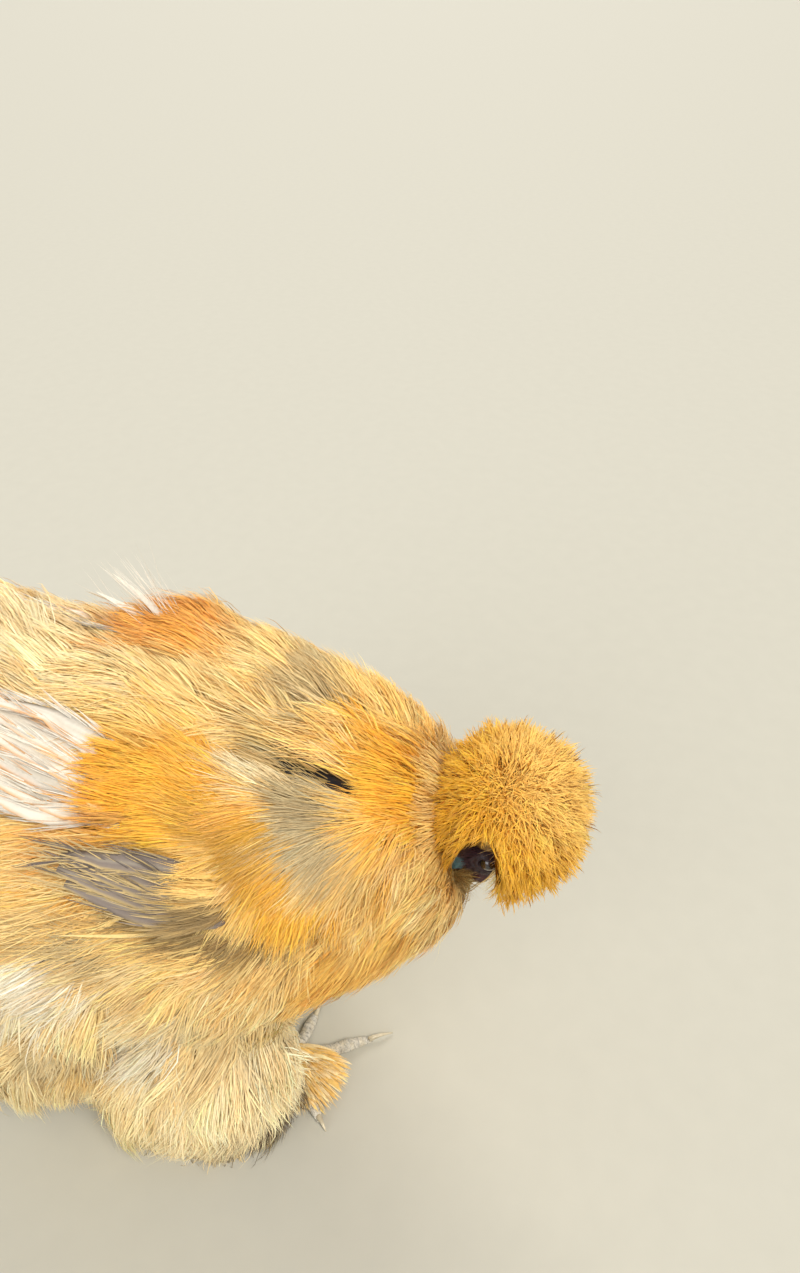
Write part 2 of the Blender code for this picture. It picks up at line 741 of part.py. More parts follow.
legs = [make_foot(side_name) for side_name in FEET]
carve(neck, [crest, head] + small + wings + legs)
carve(trunk, wings + flights + legs)
carve(cushion, wings + flights)
for room in list(cutters.objects):
    bpy.data.objects.remove(room)
rest_on_origin(bird)
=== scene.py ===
# Buff silkie hen, life size and still: one skin, and the silky coat, flight feathers, face and feet on it.
# Metres, +Z up. She faces -Y and her left side is +X.

import json
import math

import bmesh
import bpy
import numpy as np
from mathutils import Matrix, Vector
from mathutils.bvhtree import BVHTree
from mathutils.kdtree import KDTree

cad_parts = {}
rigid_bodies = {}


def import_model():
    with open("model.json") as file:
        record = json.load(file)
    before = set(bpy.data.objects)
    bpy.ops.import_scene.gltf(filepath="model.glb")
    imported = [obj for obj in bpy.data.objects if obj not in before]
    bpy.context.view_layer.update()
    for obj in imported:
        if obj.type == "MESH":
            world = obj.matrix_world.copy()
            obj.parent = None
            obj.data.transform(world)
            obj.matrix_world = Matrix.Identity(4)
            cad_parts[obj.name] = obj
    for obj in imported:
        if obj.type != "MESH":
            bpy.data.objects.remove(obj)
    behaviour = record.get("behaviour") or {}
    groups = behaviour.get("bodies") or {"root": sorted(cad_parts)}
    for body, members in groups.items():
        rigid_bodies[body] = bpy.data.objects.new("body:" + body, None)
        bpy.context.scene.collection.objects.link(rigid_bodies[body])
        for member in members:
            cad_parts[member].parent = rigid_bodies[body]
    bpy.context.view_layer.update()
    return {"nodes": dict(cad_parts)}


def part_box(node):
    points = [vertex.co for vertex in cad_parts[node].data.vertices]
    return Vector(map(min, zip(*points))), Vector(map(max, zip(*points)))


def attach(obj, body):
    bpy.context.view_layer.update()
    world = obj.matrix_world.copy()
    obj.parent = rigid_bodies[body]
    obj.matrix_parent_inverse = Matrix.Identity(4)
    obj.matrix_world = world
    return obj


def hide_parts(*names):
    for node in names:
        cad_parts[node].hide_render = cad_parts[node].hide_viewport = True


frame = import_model()
mm = 0.001
bird = bpy.data.collections.new("silkieHen")
bpy.context.scene.collection.children.link(bird)
workshop = bpy.data.collections.new("workshop")
bpy.context.scene.collection.children.link(workshop)

# Colours of the plumage and the bare parts, linear. The tawny, grey-cream and grey-brown tones are painted
# shade on the plumage.
tones = {
    "cream": (0.96, 0.70, 0.29),
    "paleCream": (0.98, 0.84, 0.54),
    "fluff": (0.95, 0.88, 0.71),
    "white": (0.85, 0.78, 0.66),
    "buff": (0.96, 0.62, 0.19),
    "gold": (0.98, 0.51, 0.05),
    "orange": (0.94, 0.38, 0.03),
    "crest": (1.0, 0.51, 0.038),
    "peach": (0.98, 0.64, 0.20),
    "shadedTawny": (0.60, 0.31, 0.036),
    "shadowCream": (0.52, 0.40, 0.21),
    "shadowBrown": (0.30, 0.20, 0.085),
    "lilac": (0.215, 0.172, 0.145),
    "soil": (0.10, 0.065, 0.035),
    "mulberry": (0.035, 0.014, 0.020),
    "blackSkin": (0.012, 0.010, 0.012),
    "combRed": (0.070, 0.014, 0.022),
    "turquoise": (0.08, 0.19, 0.22),
    "slate": (0.085, 0.10, 0.125),
    "scaleGrey": (0.58, 0.54, 0.45),
    "horn": (0.60, 0.52, 0.36),
    "iris": (0.045, 0.018, 0.008),
    "floor": (0.53, 0.51, 0.43),
}


def tone(name):
    return np.array(tones[name])


def tinted(colours, share, name, level=1.0):
    # Turns each colour towards a tone by its share.
    share = np.reshape(share, (-1, 1))
    return colours * (1 - share) + tone(name) * level * share


# Camera, floor and light.

view = {
    "place": (-0.288, -0.1806, 0.500),  # a phone held above and behind her right side
    "lens": 26,
    "sensor": 36,
    "down": 36,  # degrees below the horizon
    "heading": 15,  # degrees from +X towards +Y
    "nearClip": 0.01,
}


def setCamera():
    camera = bpy.data.cameras.new("photoView")
    camera.lens = view["lens"]
    camera.sensor_width = view["sensor"]
    camera.clip_start = view["nearClip"]
    holder = bpy.data.objects.new("photoView", camera)
    holder.location = view["place"]
    holder.rotation_euler = (math.radians(90 - view["down"]), 0, math.radians(view["heading"] - 90))
    bpy.context.scene.collection.objects.link(holder)
    bpy.context.scene.camera = holder


studio = {
    "floorSize": 60.0,
    "floorDrop": 0.3 * mm,  # how far the floor lies under her feet
    "key": {"from": (-1.35, -1.85, 3.0), "spread": 20, "power": 2.15, "colour": (1.0, 0.95, 0.87)},
    "fill": {"from": (-2.6, 1.0, 1.7), "spread": 40, "power": 0.85, "colour": (0.96, 0.98, 1.0)},
    "rim": {"from": (2.4, 0.6, 2.2), "spread": 30, "power": 1.3, "colour": (1.0, 0.96, 0.9)},
    "sky": (0.95, 0.97, 1.0),
    "skyStrength": 0.50,
}


def setStudio():
    bm = bmesh.new()
    bmesh.ops.create_grid(bm, x_segments=1, y_segments=1, size=studio["floorSize"] / 2)
    mesh = bpy.data.meshes.new("studioFloor")
    bm.to_mesh(mesh)
    bm.free()
    floor = bpy.data.objects.new("studioFloor", mesh)
    floor.location.z = -studio["floorDrop"]
    bpy.context.scene.collection.objects.link(floor)
    mesh.materials.append(makeFinish("paleFloor", tone("floor")))
    for name in ("key", "fill", "rim"):
        values = studio[name]
        light = bpy.data.lights.new(name, "SUN")
        light.angle = math.radians(values["spread"])
        light.energy = values["power"]
        light.color = values["colour"]
        lamp = bpy.data.objects.new(name, light)
        lamp.location = values["from"]
        lamp.rotation_euler = (-Vector(values["from"])).to_track_quat("-Z", "Y").to_euler()
        bpy.context.scene.collection.objects.link(lamp)
    world = bpy.data.worlds.new("studioSky")
    world.use_nodes = True
    background = world.node_tree.nodes["Background"]
    background.inputs["Color"].default_value = (*studio["sky"], 1)
    background.inputs["Strength"].default_value = studio["skyStrength"]
    bpy.context.scene.world = world
    bpy.context.scene.view_settings.view_transform = "Standard"


# Finishes. Each one's roughness, the scale and strength of its fine pattern, and its gloss.

finishPlan = {
    "skinFinish": {"rough": 0.5, "grain": 900, "vary": 0.22, "bump": 0.5, "specular": 0.45, "coat": 0.08},
    "silkyPlumage": {"rough": 0.6, "grain": 700, "vary": 0.10, "specular": 0.18, "sheen": 0.04},
    "satinVanes": {"rough": 0.42, "grain": 700, "vary": 0.04, "specular": 0.35},
    "eyeFinish": {"rough": 0.06, "grain": 300, "vary": 0.05, "specular": 0.6, "coat": 1.0},
    "hornFinish": {"rough": 0.32, "grain": 500, "vary": 0.12, "bump": 0.25, "specular": 0.5, "coat": 0.15},
    "scaleFinish": {"rough": 0.62, "grain": 900, "vary": 0.2, "bump": 0.5, "specular": 0.35},
    "paleFloor": {"rough": 0.8, "grain": 60, "vary": 0.012, "specular": 0.4},
}
bumpDepth = 0.3 * mm
patternSpan = (0.3, 0.7)  # the noise lies mostly between these values


def makeFinish(name, colour=None):
    # The colour is one tone, or else the piece's own colour attribute with its painted shade and light,
    # varied by a fine pattern.
    plan = finishPlan[name]
    made = bpy.data.materials.new(name)
    made.use_nodes = True
    tree = made.node_tree
    shader = tree.nodes["Principled BSDF"]
    shader.inputs["Roughness"].default_value = plan["rough"]
    shader.inputs["Specular IOR Level"].default_value = plan["specular"]
    shader.inputs["Coat Weight"].default_value = plan.get("coat", 0.0)
    shader.inputs["Sheen Weight"].default_value = plan.get("sheen", 0.0)
    if colour is None:
        base = tree.nodes.new("ShaderNodeAttribute")
        base.attribute_name = "toneAndShade"
    else:
        base = tree.nodes.new("ShaderNodeRGB")
        base.outputs["Color"].default_value = (*colour, 1)
    place = tree.nodes.new("ShaderNodeTexCoord")
    noise = tree.nodes.new("ShaderNodeTexNoise")
    noise.inputs["Scale"].default_value = plan["grain"]
    noise.inputs["Detail"].default_value = 3.0
    tree.links.new(place.outputs["Object"], noise.inputs["Vector"])
    span = tree.nodes.new("ShaderNodeMapRange")
    span.inputs["From Min"].default_value, span.inputs["From Max"].default_value = patternSpan
    span.inputs["To Min"].default_value = 1 - plan["vary"]
    span.inputs["To Max"].default_value = 1 + plan["vary"]
    mix = tree.nodes.new("ShaderNodeVectorMath")
    mix.operation = "SCALE"
    tree.links.new(noise.outputs["Fac"], span.inputs["Value"])
    tree.links.new(base.outputs["Color"], mix.inputs[0])
    tree.links.new(span.outputs["Result"], mix.inputs["Scale"])
    tree.links.new(mix.outputs["Vector"], shader.inputs["Base Color"])
    if "bump" in plan:
        bump = tree.nodes.new("ShaderNodeBump")
        bump.inputs["Strength"].default_value = plan["bump"]
        bump.inputs["Distance"].default_value = bumpDepth
        tree.links.new(noise.outputs["Fac"], bump.inputs["Height"])
        tree.links.new(bump.outputs["Normal"], shader.inputs["Normal"])
    return made


# Mesh helpers.

def readMesh(mesh):
    # Places, the triangles' corners and their loops.
    mesh.calc_loop_triangles()
    places = np.empty(len(mesh.vertices) * 3)
    mesh.vertices.foreach_get("co", places)
    corners = np.empty(len(mesh.loop_triangles) * 3, np.int32)
    mesh.loop_triangles.foreach_get("vertices", corners)
    loops = np.empty(len(mesh.loop_triangles) * 3, np.int32)
    mesh.loop_triangles.foreach_get("loops", loops)
    return places.reshape(-1, 3), corners.reshape(-1, 3), loops.reshape(-1, 3)


def writePlaces(mesh, places):
    mesh.vertices.foreach_set("co", np.ascontiguousarray(places, np.float32).ravel())
    mesh.update()


def vertexNormals(mesh):
    normals = np.empty(len(mesh.vertices) * 3)
    mesh.vertices.foreach_get("normal", normals)
    return normals.reshape(-1, 3)


def paint(mesh, colours, name="toneAndShade"):
    layer = mesh.attributes.new(name, "FLOAT_COLOR", "POINT")
    full = np.ones((len(colours), 4), np.float32)
    full[:, :3] = colours
    layer.data.foreach_set("color", full.ravel())


def unit(vectors):
    return vectors / (np.linalg.norm(vectors, axis=-1, keepdims=True) + 1e-12)


def smooth(value, low, high):
    share = np.clip((value - low) / (high - low), 0, 1)
    return share * share * (3 - 2 * share)


driftPlan = {"waves": 9, "stretch": (0.7, 1.7), "span": 3.6}


def drift(places, size, seed):
    # A smooth random value from about -1 to 1 at each place, with waves of about this size.
    rng = np.random.default_rng(seed)
    total = np.zeros(len(places))
    for _ in range(driftPlan["waves"]):
        way = unit(rng.normal(size=3)) * rng.uniform(*driftPlan["stretch"])
        total += np.sin(places @ way * (2 * math.pi / size) + rng.uniform(0, 2 * math.pi))
    return total / driftPlan["span"]


def curveAt(root, mid, tip, share):
    # The place on a lock's curve, from its root (0) to its tip (1).
    return (1 - share) ** 2 * root + 2 * share * (1 - share) * mid + share ** 2 * tip


def triangleMix(count, rng):
    # Random places in a triangle, as shares of its second and third corner.
    mix = rng.random((count, 2))
    fold = mix.sum(axis=1) > 1
    mix[fold] = 1 - mix[fold]
    return mix


def alongSkin(way, normal):
    return way - normal * (way * normal).sum(axis=1, keepdims=True)


def varied(rng, spread, count, owner=slice(None)):
    # A random factor for each lock, or for the lock that leads it.
    return (1 + rng.normal(0, spread, count)[owner])[:, None]


def newPiece(name, bm, collection=None):
    mesh = bpy.data.meshes.new(name)
    bm.to_mesh(mesh)
    bm.free()
    mesh.shade_smooth()
    made = bpy.data.objects.new(name, mesh)
    (collection or bird).objects.link(made)
    return made


weldDistance = 0.01 * mm


def cadCopy(names, name, grow=0.0):
    # CAD nodes as one welded mesh of their own.
    bm = bmesh.new()
    for node in names:
        part = bmesh.new()
        part.from_mesh(frame["nodes"][node].data)
        bmesh.ops.remove_doubles(part, verts=part.verts, dist=weldDistance)
        part.normal_update()
        shifts = [vert.normal * grow for vert in part.verts]
        for vert, shift in zip(part.verts, shifts):
            vert.co += shift
        spare = bpy.data.meshes.new("spare")
        part.to_mesh(spare)
        part.free()
        bm.from_mesh(spare)
        bpy.data.meshes.remove(spare)
    return newPiece(name, bm, workshop)


def settle(piece):
    # The modifiers' result becomes the mesh.
    graph = bpy.context.evaluated_depsgraph_get()
    made = bpy.data.meshes.new_from_object(piece.evaluated_get(graph))
    piece.modifiers.clear()
    piece.data = made
    made.shade_smooth()
    return piece


def remesh(piece, voxel, rounds=0):
    change = piece.modifiers.new("voxels", "REMESH")
    change.mode = "VOXEL"
    change.voxel_size = voxel
    if rounds:
        soft = piece.modifiers.new("soft", "SMOOTH")
        soft.factor = 0.5
        soft.iterations = rounds
    return settle(piece)


def rounded(piece, levels):
    change = piece.modifiers.new("round", "SUBSURF")
    change.levels = levels
    change.render_levels = levels
    return settle(piece)


def moveOut(piece, name):
    # A finished mesh leaves the workshop and becomes a piece of the bird.
    made = bpy.data.objects.new(name, piece.data)
    bird.objects.link(made)
    bpy.data.objects.remove(piece)
    return made


def treeOf(mesh):
    places, corners, _ = readMesh(mesh)
    return BVHTree.FromPolygons(places.tolist(), corners.tolist())


def handIn(piece, slotName, finish, *nodes):
    # Every finished piece takes its finish, rides on the one body and stands for its CAD nodes, which it
    # hides.
    piece.data.materials.clear()
    piece.data.materials.append(finish)
    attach(piece, "root")
    if nodes:
        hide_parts(*nodes)
    return piece


# Places that the eyes and the feet give.

def boxOf(node):
    low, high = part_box(node)
    return np.array(low), np.array(high)


def trianglesOf(node):
    # The three corners of a CAD node's triangles, and their cross products.
    places, corners, _ = readMesh(frame["nodes"][node].data)
    first, second, third = (places[corners[:, k]] for k in range(3))
    return first, second, third, np.cross(second - first, third - first)


def middle(node):
    low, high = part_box(node)
    return np.array((low + high) / 2)


headPlan = {
    "pitch": 32,  # degrees that the bill points down
    "eye": np.array((0, -7.5, 3.6)) * mm,  # between the eyes, from the skull's middle
    "eyeOut": 10.4,  # millimetres from there to each eye
    "skull": np.array((13.5, 21, 15.5)) * mm,
    "crest": np.array((0, 1, 30)) * mm,  # the middle of the crest's globe
}
pitch = math.radians(headPlan["pitch"])
cosine, sine = math.cos(pitch), math.sin(pitch)
headTurn = np.array([(1, 0, 0), (0, cosine, -sine), (0, sine, cosine)])
headMiddle = (middle("eye_left") + middle("eye_right")) / 2 - headTurn @ headPlan["eye"]
crestMiddle = headMiddle + headTurn @ headPlan["crest"]


def eyePlace(side):
    # In the head's own frame, in millimetres.
    return headPlan["eye"] / mm + np.array((side * headPlan["eyeOut"], 0, 0))


def toHead(places):
    return (np.asarray(places) - headMiddle) @ headTurn


def fromHead(places):
    return np.asarray(places) @ headTurn.T + headMiddle


# The gap in the plumage between the shoulders, from front to back, at the height of the coat.
parting = {
    "line": np.array([(-18.5, -77, 213.5), (-16.5, -64, 217.5), (-14.5, -54, 220.5)]) * mm,
    "width": 10.5 * mm,
    "ends": (-85 * mm, -44 * mm),
    "fade": 12 * mm,  # it runs out over this length at each end
    "narrowest": 0.3,  # its width at the ends, as a share
    "ragged": (0.5, 1.15),  # how much the locks differ in how far they keep away
    "crossing": 0.035,  # the share of locks that lie across it
    "flat": 0.35,  # how much a difference in height counts
    "bare": (14 * mm, 9 * mm),  # black skin starts and is full at these distances
    "shade": (11 * mm, 7 * mm, 0.45),  # painted shade: locks get darker between these distances, by this share
    "low": (16 * mm, 8 * mm, 0.4),  # and lie lower
}


def partingDistance(places):
    best = np.full(len(places), 1.0)
    squash = np.array((1, 1, parting["flat"]))
    for start, end in zip(parting["line"], parting["line"][1:]):
        way = (end - start) * squash
        rest = (places - start) * squash
        share = np.clip(rest @ way / (way @ way), 0, 1)
        best = np.minimum(best, np.linalg.norm(rest - share[:, None] * way, axis=1))
    return best


def nearParting(places, far, near, strength=1.0):
    return strength * smooth(partingDistance(places), far, near)


# Colour patches, the same on the skin and the coat: the plumage's markings, and painted shade and shadow
# where noted below. Each one: the place, its radii, the tone and its strength.
patchesAndShade = [
    ("wedge", (8, -5, 236), (34, 62, 26), "cream", 0.8),
    ("saddle", (10, 70, 245), (60, 60, 40), "paleCream", 0.6),
    ("farCovert", (44, 8, 234), (24, 38, 26), "orange", 0.8),
    ("farEdge", (50, -30, 222), (18, 26, 20), "cream", 0.7),
    # Painted shadow on the far shoulder.
    ("farShoulderShadow", (33, -62, 216), (24, 22, 22), "shadowCream", 0.75),
    ("farNeck", (38, -90, 208), (20, 18, 22), "buff", 0.6),
    ("neckGold", (2, -104, 196), (36, 20, 34), "gold", 1.0),
    ("nearCovert", (-47, -27, 223), (30, 50, 32), "gold", 0.95),
    ("nearCovertRear", (-62, 4, 212), (20, 22, 28), "orange", 0.55),
    # Painted shade along the lower part of the near coverts.
    ("nearCovertShade", (-54, -66, 214), (14, 26, 12), "shadedTawny", 0.8),
    ("shoulderPale", (-25, -59, 219), (13, 15, 13), "paleCream", 1.0),
    # Painted shadow on the near shoulder.
    ("shoulderShadow", (-34, -90, 208), (19, 18, 18), "shadowCream", 1.0),
    ("shoulderLow", (-60, -82, 189), (18, 24, 19), "gold", 0.9),
    ("throatPale", (-4, -120, 172), (18, 12, 16), "peach", 0.8),
    ("breast", (-30, -98, 128), (60, 40, 42), "gold", 0.7),
    # Painted shadow under the near wing's lower edge.
    ("wingShade", (-73, -62, 176), (16, 44, 12), "shadowBrown", 0.9),
    ("wingShadeFront", (-71, -64, 179), (10, 20, 8), "shadowBrown", 0.8),
    # Painted shade on the flank and on the belly.
    ("flankShade", (-92, 2, 164), (16, 36, 12), "shadowCream", 0.7),
    ("bellyShade", (-100, 24, 96), (22, 40, 22), "shadowCream", 0.5),
    ("whiteBelly", (-104, 62, 122), (30, 30, 14), "fluff", 0.8),
    ("whiteThigh", (-97, -14, 103), (18, 18, 13), "fluff", 0.9),
    ("bellySide", (-102, 30, 145), (22, 32, 15), "fluff", 0.85),
    ("bellyFront", (-92, -26, 120), (18, 30, 18), "paleCream", 0.6),
    ("legPale", (-70, -50, 60), (34, 30, 34), "paleCream", 0.8),
    # Painted shade on the thigh.
    ("thighShade", (-100, 22, 84), (16, 16, 9), "buff", 0.7),
    ("goldSide", (-92, 54, 186), (26, 34, 30), "gold", 0.65),
]


plumage = {
    "heights": (0.06, 0.20),  # the base turns from pale cream below to buff above
    "patch": (75 * mm, 0.35),  # cream patches: their size and strength
    "streak": (17 * mm, 0.4),  # pale streaks, stretched along the body
    "stretch": np.array((1, 0.45, 1)),
    "ragged": ((26 * mm, 0.30, 5), (9 * mm, 0.14, 6)),  # the patches' edges: size, depth and seed
    "reach": 1.25,  # where a patch ends, in its radii
    "soft": 0.75,  # how wide its edge is
}


# The plumage's colour at each place, with its painted shade and shadow.
def plumageToneAndShade(places):
    high = smooth(places[:, 2], *plumage["heights"])[:, None]
    colours = (tone("paleCream") + tone("cream")) * 0.5 * (1 - high) + tone("buff") * high
    size, strength = plumage["patch"]
    colours = tinted(colours, strength * (0.5 + 0.5 * drift(places, size, 3)), "cream")
    size, strength = plumage["streak"]
    streak = smooth(drift(places * plumage["stretch"], size, 7), -0.1, 1.0)
    colours = tinted(colours, strength * streak, "paleCream")
    ragged = sum(depth * drift(places, size, seed) for size, depth, seed in plumage["ragged"])
    for _, centre, radii, name, strength in patchesAndShade:
        off = (places - np.array(centre) * mm) / (np.array(radii) * mm)
        inside = plumage["reach"] - np.linalg.norm(off, axis=1) + ragged
        colours = tinted(colours, strength * smooth(inside, 0, plumage["soft"]), name)
    return colours


# The skin.

fleshNodes = ["neck", "trunk", "cushion", "tail", "wing_right", "wing_left", "leg_right", "leg_left"]
skinPlan = {
    "coatDepth": 8.0 * mm,  # how far the skin lies inside the plumage
    "grow": 0.6 * mm,  # first, so that the solids join
    "voxel": 3.2 * mm,
    "headVoxel": 0.75 * mm,
    "knob": np.array((15, 15, 15)) * mm,  # the crown's knob that carries the crest
    "knobPlace": (0, 2, 17),
    "neckCore": 19 * mm,
    "neckGirth": (0.72, 1.22),  # at the skull and at the body, as shares of the core
    "neckFrom": (0, 12, -2),  # in the head's own frame
    "neckTo": (6, -84, 158),
    "chest": ((10, -117, 153), (37, 12, 41)),  # its middle and radii
    "muzzle": ((0, -12, -1), (9.5, 9.5, 9.8)),
    "jaw": ((0, 2, -7), (11.5, 15, 9.5)),
    "lobes": {"comb": 0.56, "wattle_left": 0.6, "wattle_right": 0.6,  # radii, as shares of each one's box
              "earlobe_left": 0.56, "earlobe_right": 0.56},
}


def ball(bm, centre, radii, turn=None, segments=32):
    matrix = Matrix.Translation(Vector(centre)) @ (turn or Matrix.Identity(4))
    matrix = matrix @ Matrix.Diagonal((*radii, 1))
    bmesh.ops.create_uvsphere(bm, u_segments=segments, v_segments=segments // 2, radius=1, matrix=matrix)


def bodyCore():
    core = cadCopy(fleshNodes, "bodyCore", grow=skinPlan["grow"])
    remesh(core, skinPlan["voxel"], rounds=6)
    writePlaces(core.data, readMesh(core.data)[0] - vertexNormals(core.data) * skinPlan["coatDepth"])
    bm = bmesh.new()
    bm.from_mesh(core.data)
    bpy.data.objects.remove(core)
    turn = Matrix.Rotation(pitch, 4, "X")
    ball(bm, fromHead(np.array(skinPlan["knobPlace"]) * mm), skinPlan["knob"], turn)
    # A short neck runs from the skull to the body.
    start, end = fromHead(np.array(skinPlan["neckFrom"]) * mm), np.array(skinPlan["neckTo"]) * mm
    thin, thick = skinPlan["neckGirth"]
    for share in np.linspace(0, 1, 5):
        ball(bm, start + (end - start) * share, (skinPlan["neckCore"] * (thin + (thick - thin) * share),) * 3)
    place, radii = skinPlan["chest"]
    ball(bm, np.array(place) * mm, np.array(radii) * mm)
    return remesh(newPiece("skinBody", bm, workshop), skinPlan["voxel"] * 0.8, rounds=3)


def headShell():
    # Skull, comb, wattles and lobes as one fine shell.
    turn = Matrix.Rotation(pitch, 4, "X")
    bm = bmesh.new()
    ball(bm, headMiddle, headPlan["skull"], turn, 48)
    for place, radii in (skinPlan["muzzle"], skinPlan["jaw"]):
        ball(bm, fromHead(np.array(place) * mm), np.array(radii) * mm, turn)
    for node, share in skinPlan["lobes"].items():
        low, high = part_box(node)
        ball(bm, middle(node), np.array(high - low) * share, None, 24)
    shell = remesh(newPiece("headShell", bm, workshop), skinPlan["headVoxel"], rounds=2)
    shapeHead(shell.data)
    return shell


# The lids' rings, in millimetres from the eye's middle, and how high or deep the face's folds are.
lidPlan = {"opening": 3.5, "rim": 4.6, "fold": 6.4, "secondFold": 7.7, "ball": 4.6, "sunk": 1.1,
           "cover": 0.45}
foldPlan = {"grain": 0.22, "fineGrain": 0.12, "wart": 1.25, "fineWart": 0.5, "wartBase": 0.7,
            "combReach": 10.5, "cheek": 0.22, "rim": 0.55, "groove": 0.45, "second": 0.3}


def shapeHead(mesh):
    places = readMesh(mesh)[0]
    normals = vertexNormals(mesh)
    local = toHead(places) / mm
    lift = foldPlan["grain"] * drift(places, 2.6 * mm, 11)
    lift += foldPlan["fineGrain"] * drift(places, 1.3 * mm, 12)
    # The comb is a small walnut of warts.
    combAt = toHead(middle("comb")[None])[0] / mm
    nearComb = smooth(foldPlan["combReach"] - np.linalg.norm(local - combAt, axis=1), 0, 3)
    warts = np.abs(drift(places, 4.4 * mm, 13))
    warts += foldPlan["fineWart"] * np.abs(drift(places, 2.4 * mm, 14))
    lift += nearComb * (foldPlan["wart"] * warts - foldPlan["wartBase"])
    # Folds run down the cheek and over the wattles.
    cheek = smooth(-local[:, 2], -4, 4) * (1 - nearComb)
    lift += foldPlan["cheek"] * cheek * np.sin(local[:, 1] * 1.9 + 0.8 * np.sin(local[:, 2] * 0.6))
    places = places + normals * (lift * mm)[:, None]
    local = toHead(places) / mm
    for side in (-1, 1):
        # The lids close round the ball as an oval, with a rim, a groove and a second fold.
        rest = local - eyePlace(side)
        across = np.hypot(rest[:, 1] / 1.12, (rest[:, 2] + 0.15 * rest[:, 1]) / 0.86)
        onSide = smooth(local[:, 0] * side, 2, 6)
        globe = np.sqrt(np.clip(lidPlan["ball"] ** 2 - rest[:, 1] ** 2 - rest[:, 2] ** 2, 0, None))
        rim = np.exp(-((across - lidPlan["rim"]) / 0.75) ** 2)
        groove = np.exp(-((across - lidPlan["fold"]) / 0.55) ** 2)
        second = np.exp(-((across - lidPlan["secondFold"]) / 0.7) ** 2)
        outward = rest[:, 0] * side
        inside = 1 - smooth(across, lidPlan["opening"] - 0.2, lidPlan["opening"] + 0.5)
        covered = (1 - inside) * (1 - smooth(across, lidPlan["rim"] + 0.4, lidPlan["fold"]))
        wanted = outward * (1 - inside - covered) + inside * (globe - lidPlan["sunk"])
        wanted += covered * np.maximum(outward, globe + lidPlan["cover"])
        wanted += foldPlan["rim"] * rim + foldPlan["second"] * second
        wanted -= foldPlan["groove"] * groove * (1 - inside)
        local[:, 0] += side * onSide * (wanted - outward)
    writePlaces(mesh, fromHead(local * mm))


def makeSkin():
    body, head = bodyCore(), headShell()
    join = body.modifiers.new("head", "BOOLEAN")
    join.operation = "UNION"
    join.solver = "MANIFOLD"
    join.object = head
    settle(body)
    bpy.data.objects.remove(head)
    mesh = body.data
    bm = bmesh.new()
    bm.from_mesh(mesh)
    keepLargest(bm)
    bm.to_mesh(mesh)
    bm.free()
    while mesh.uv_layers:
        mesh.uv_layers.remove(mesh.uv_layers[0])
    mesh.uv_layers.new(name="OFBake")
    skin = moveOut(body, "skin")
    bpy.context.view_layer.objects.active = skin
    skin.select_set(True)
    bpy.ops.object.mode_set(mode="EDIT")
    bpy.ops.mesh.select_all(action="SELECT")
    bpy.ops.uv.smart_project(angle_limit=math.radians(66), island_margin=0.003)
    bpy.ops.object.mode_set(mode="OBJECT")
    return skin


def keepLargest(bm):
    left = set(bm.verts)
    bodies = []
    while left:
        front = [left.pop()]
        body = list(front)
        while front:
            vert = front.pop()
            for edge in vert.link_edges:
                other = edge.other_vert(vert)
                if other in left:
                    left.remove(other)
                    front.append(other)
                    body.append(other)
        bodies.append(body)
    bodies.sort(key=len)
    for body in bodies[:-1]:
        bmesh.ops.delete(bm, geom=body, context="VERTS")


# The bare parts' tones, and how far they reach from each one's middle in millimetres.
bareParts = {"comb": ("combRed", 10), "wattle_left": ("combRed", 6), "wattle_right": ("combRed", 6),
             "earlobe_left": ("turquoise", 6.5), "earlobe_right": ("turquoise", 6.5)}
bareFace = {"ear": 11.5, "radius": 22, "crown": 11.5}
underCoatShade = {"level": 0.8, "crownLevel": 0.22, "crownReach": 19}  # painted shade: how dark the skin is under the coat, and under the crest at the crown


def paintSkin(skin):
    places = readMesh(skin.data)[0]
    local = toHead(places) / mm
    # The skin under the coat is painted darker, and darker still under the crest at the crown, as shade
    # inside the plumage.
    colours = plumageToneAndShade(places) * underCoatShade["level"]
    fromKnob = np.linalg.norm(local - np.array(skinPlan["knobPlace"]), axis=1)
    crown = smooth(underCoatShade["crownReach"] - fromKnob, 0, 2)
    colours = tinted(colours, crown, "crest", underCoatShade["crownLevel"])
    colours = tinted(colours, nearParting(places, *parting["bare"]), "blackSkin")
    colours = tinted(colours, faceShare(local), "mulberry")
    for node, (name, reach) in bareParts.items():
        off = np.linalg.norm(places - middle(node), axis=1) / mm
        colours = tinted(colours, smooth(reach - off + 0.8 * drift(places, 3 * mm, 21), 0, 3), name)
    paint(skin.data, colours)


def faceShare(local):
    # 1 on the bare face, from the bill to the ear.
    inFace = smooth(bareFace["ear"] - local[:, 1] + 0.3 * local[:, 2], 0, 4)
    near = smooth(bareFace["radius"] - np.linalg.norm(local * np.array((1, 0.62, 0.95)), axis=1), 0, 4)
    underCrown = smooth(bareFace["crown"] - local[:, 2], 0, 2.5)
    return inFace * near * underCrown


# The coat. A strand is a thin tapered lock of silky barbs from its root to its tip.

# Painted shade darkens each lock at its root, and painted light brightens it towards its tip.
strandShape = {
    3: {"at": (0.0, 0.42, 0.76), "width": (0.85, 1.0, 0.6), "shade": (0.80, 0.94, 1.0, 1.03)},
    4: {"at": (0.0, 0.34, 0.62, 0.84), "width": (0.8, 1.0, 0.85, 0.5), "shade": (0.78, 0.9, 0.97, 1.0, 1.04)},
}
softLight = 0.72  # how much of the body's own light a lock takes
patchSize = 0.003  # the size of one lock's patch on the map
lowest = 0.2 * mm  # no lock reaches under this height


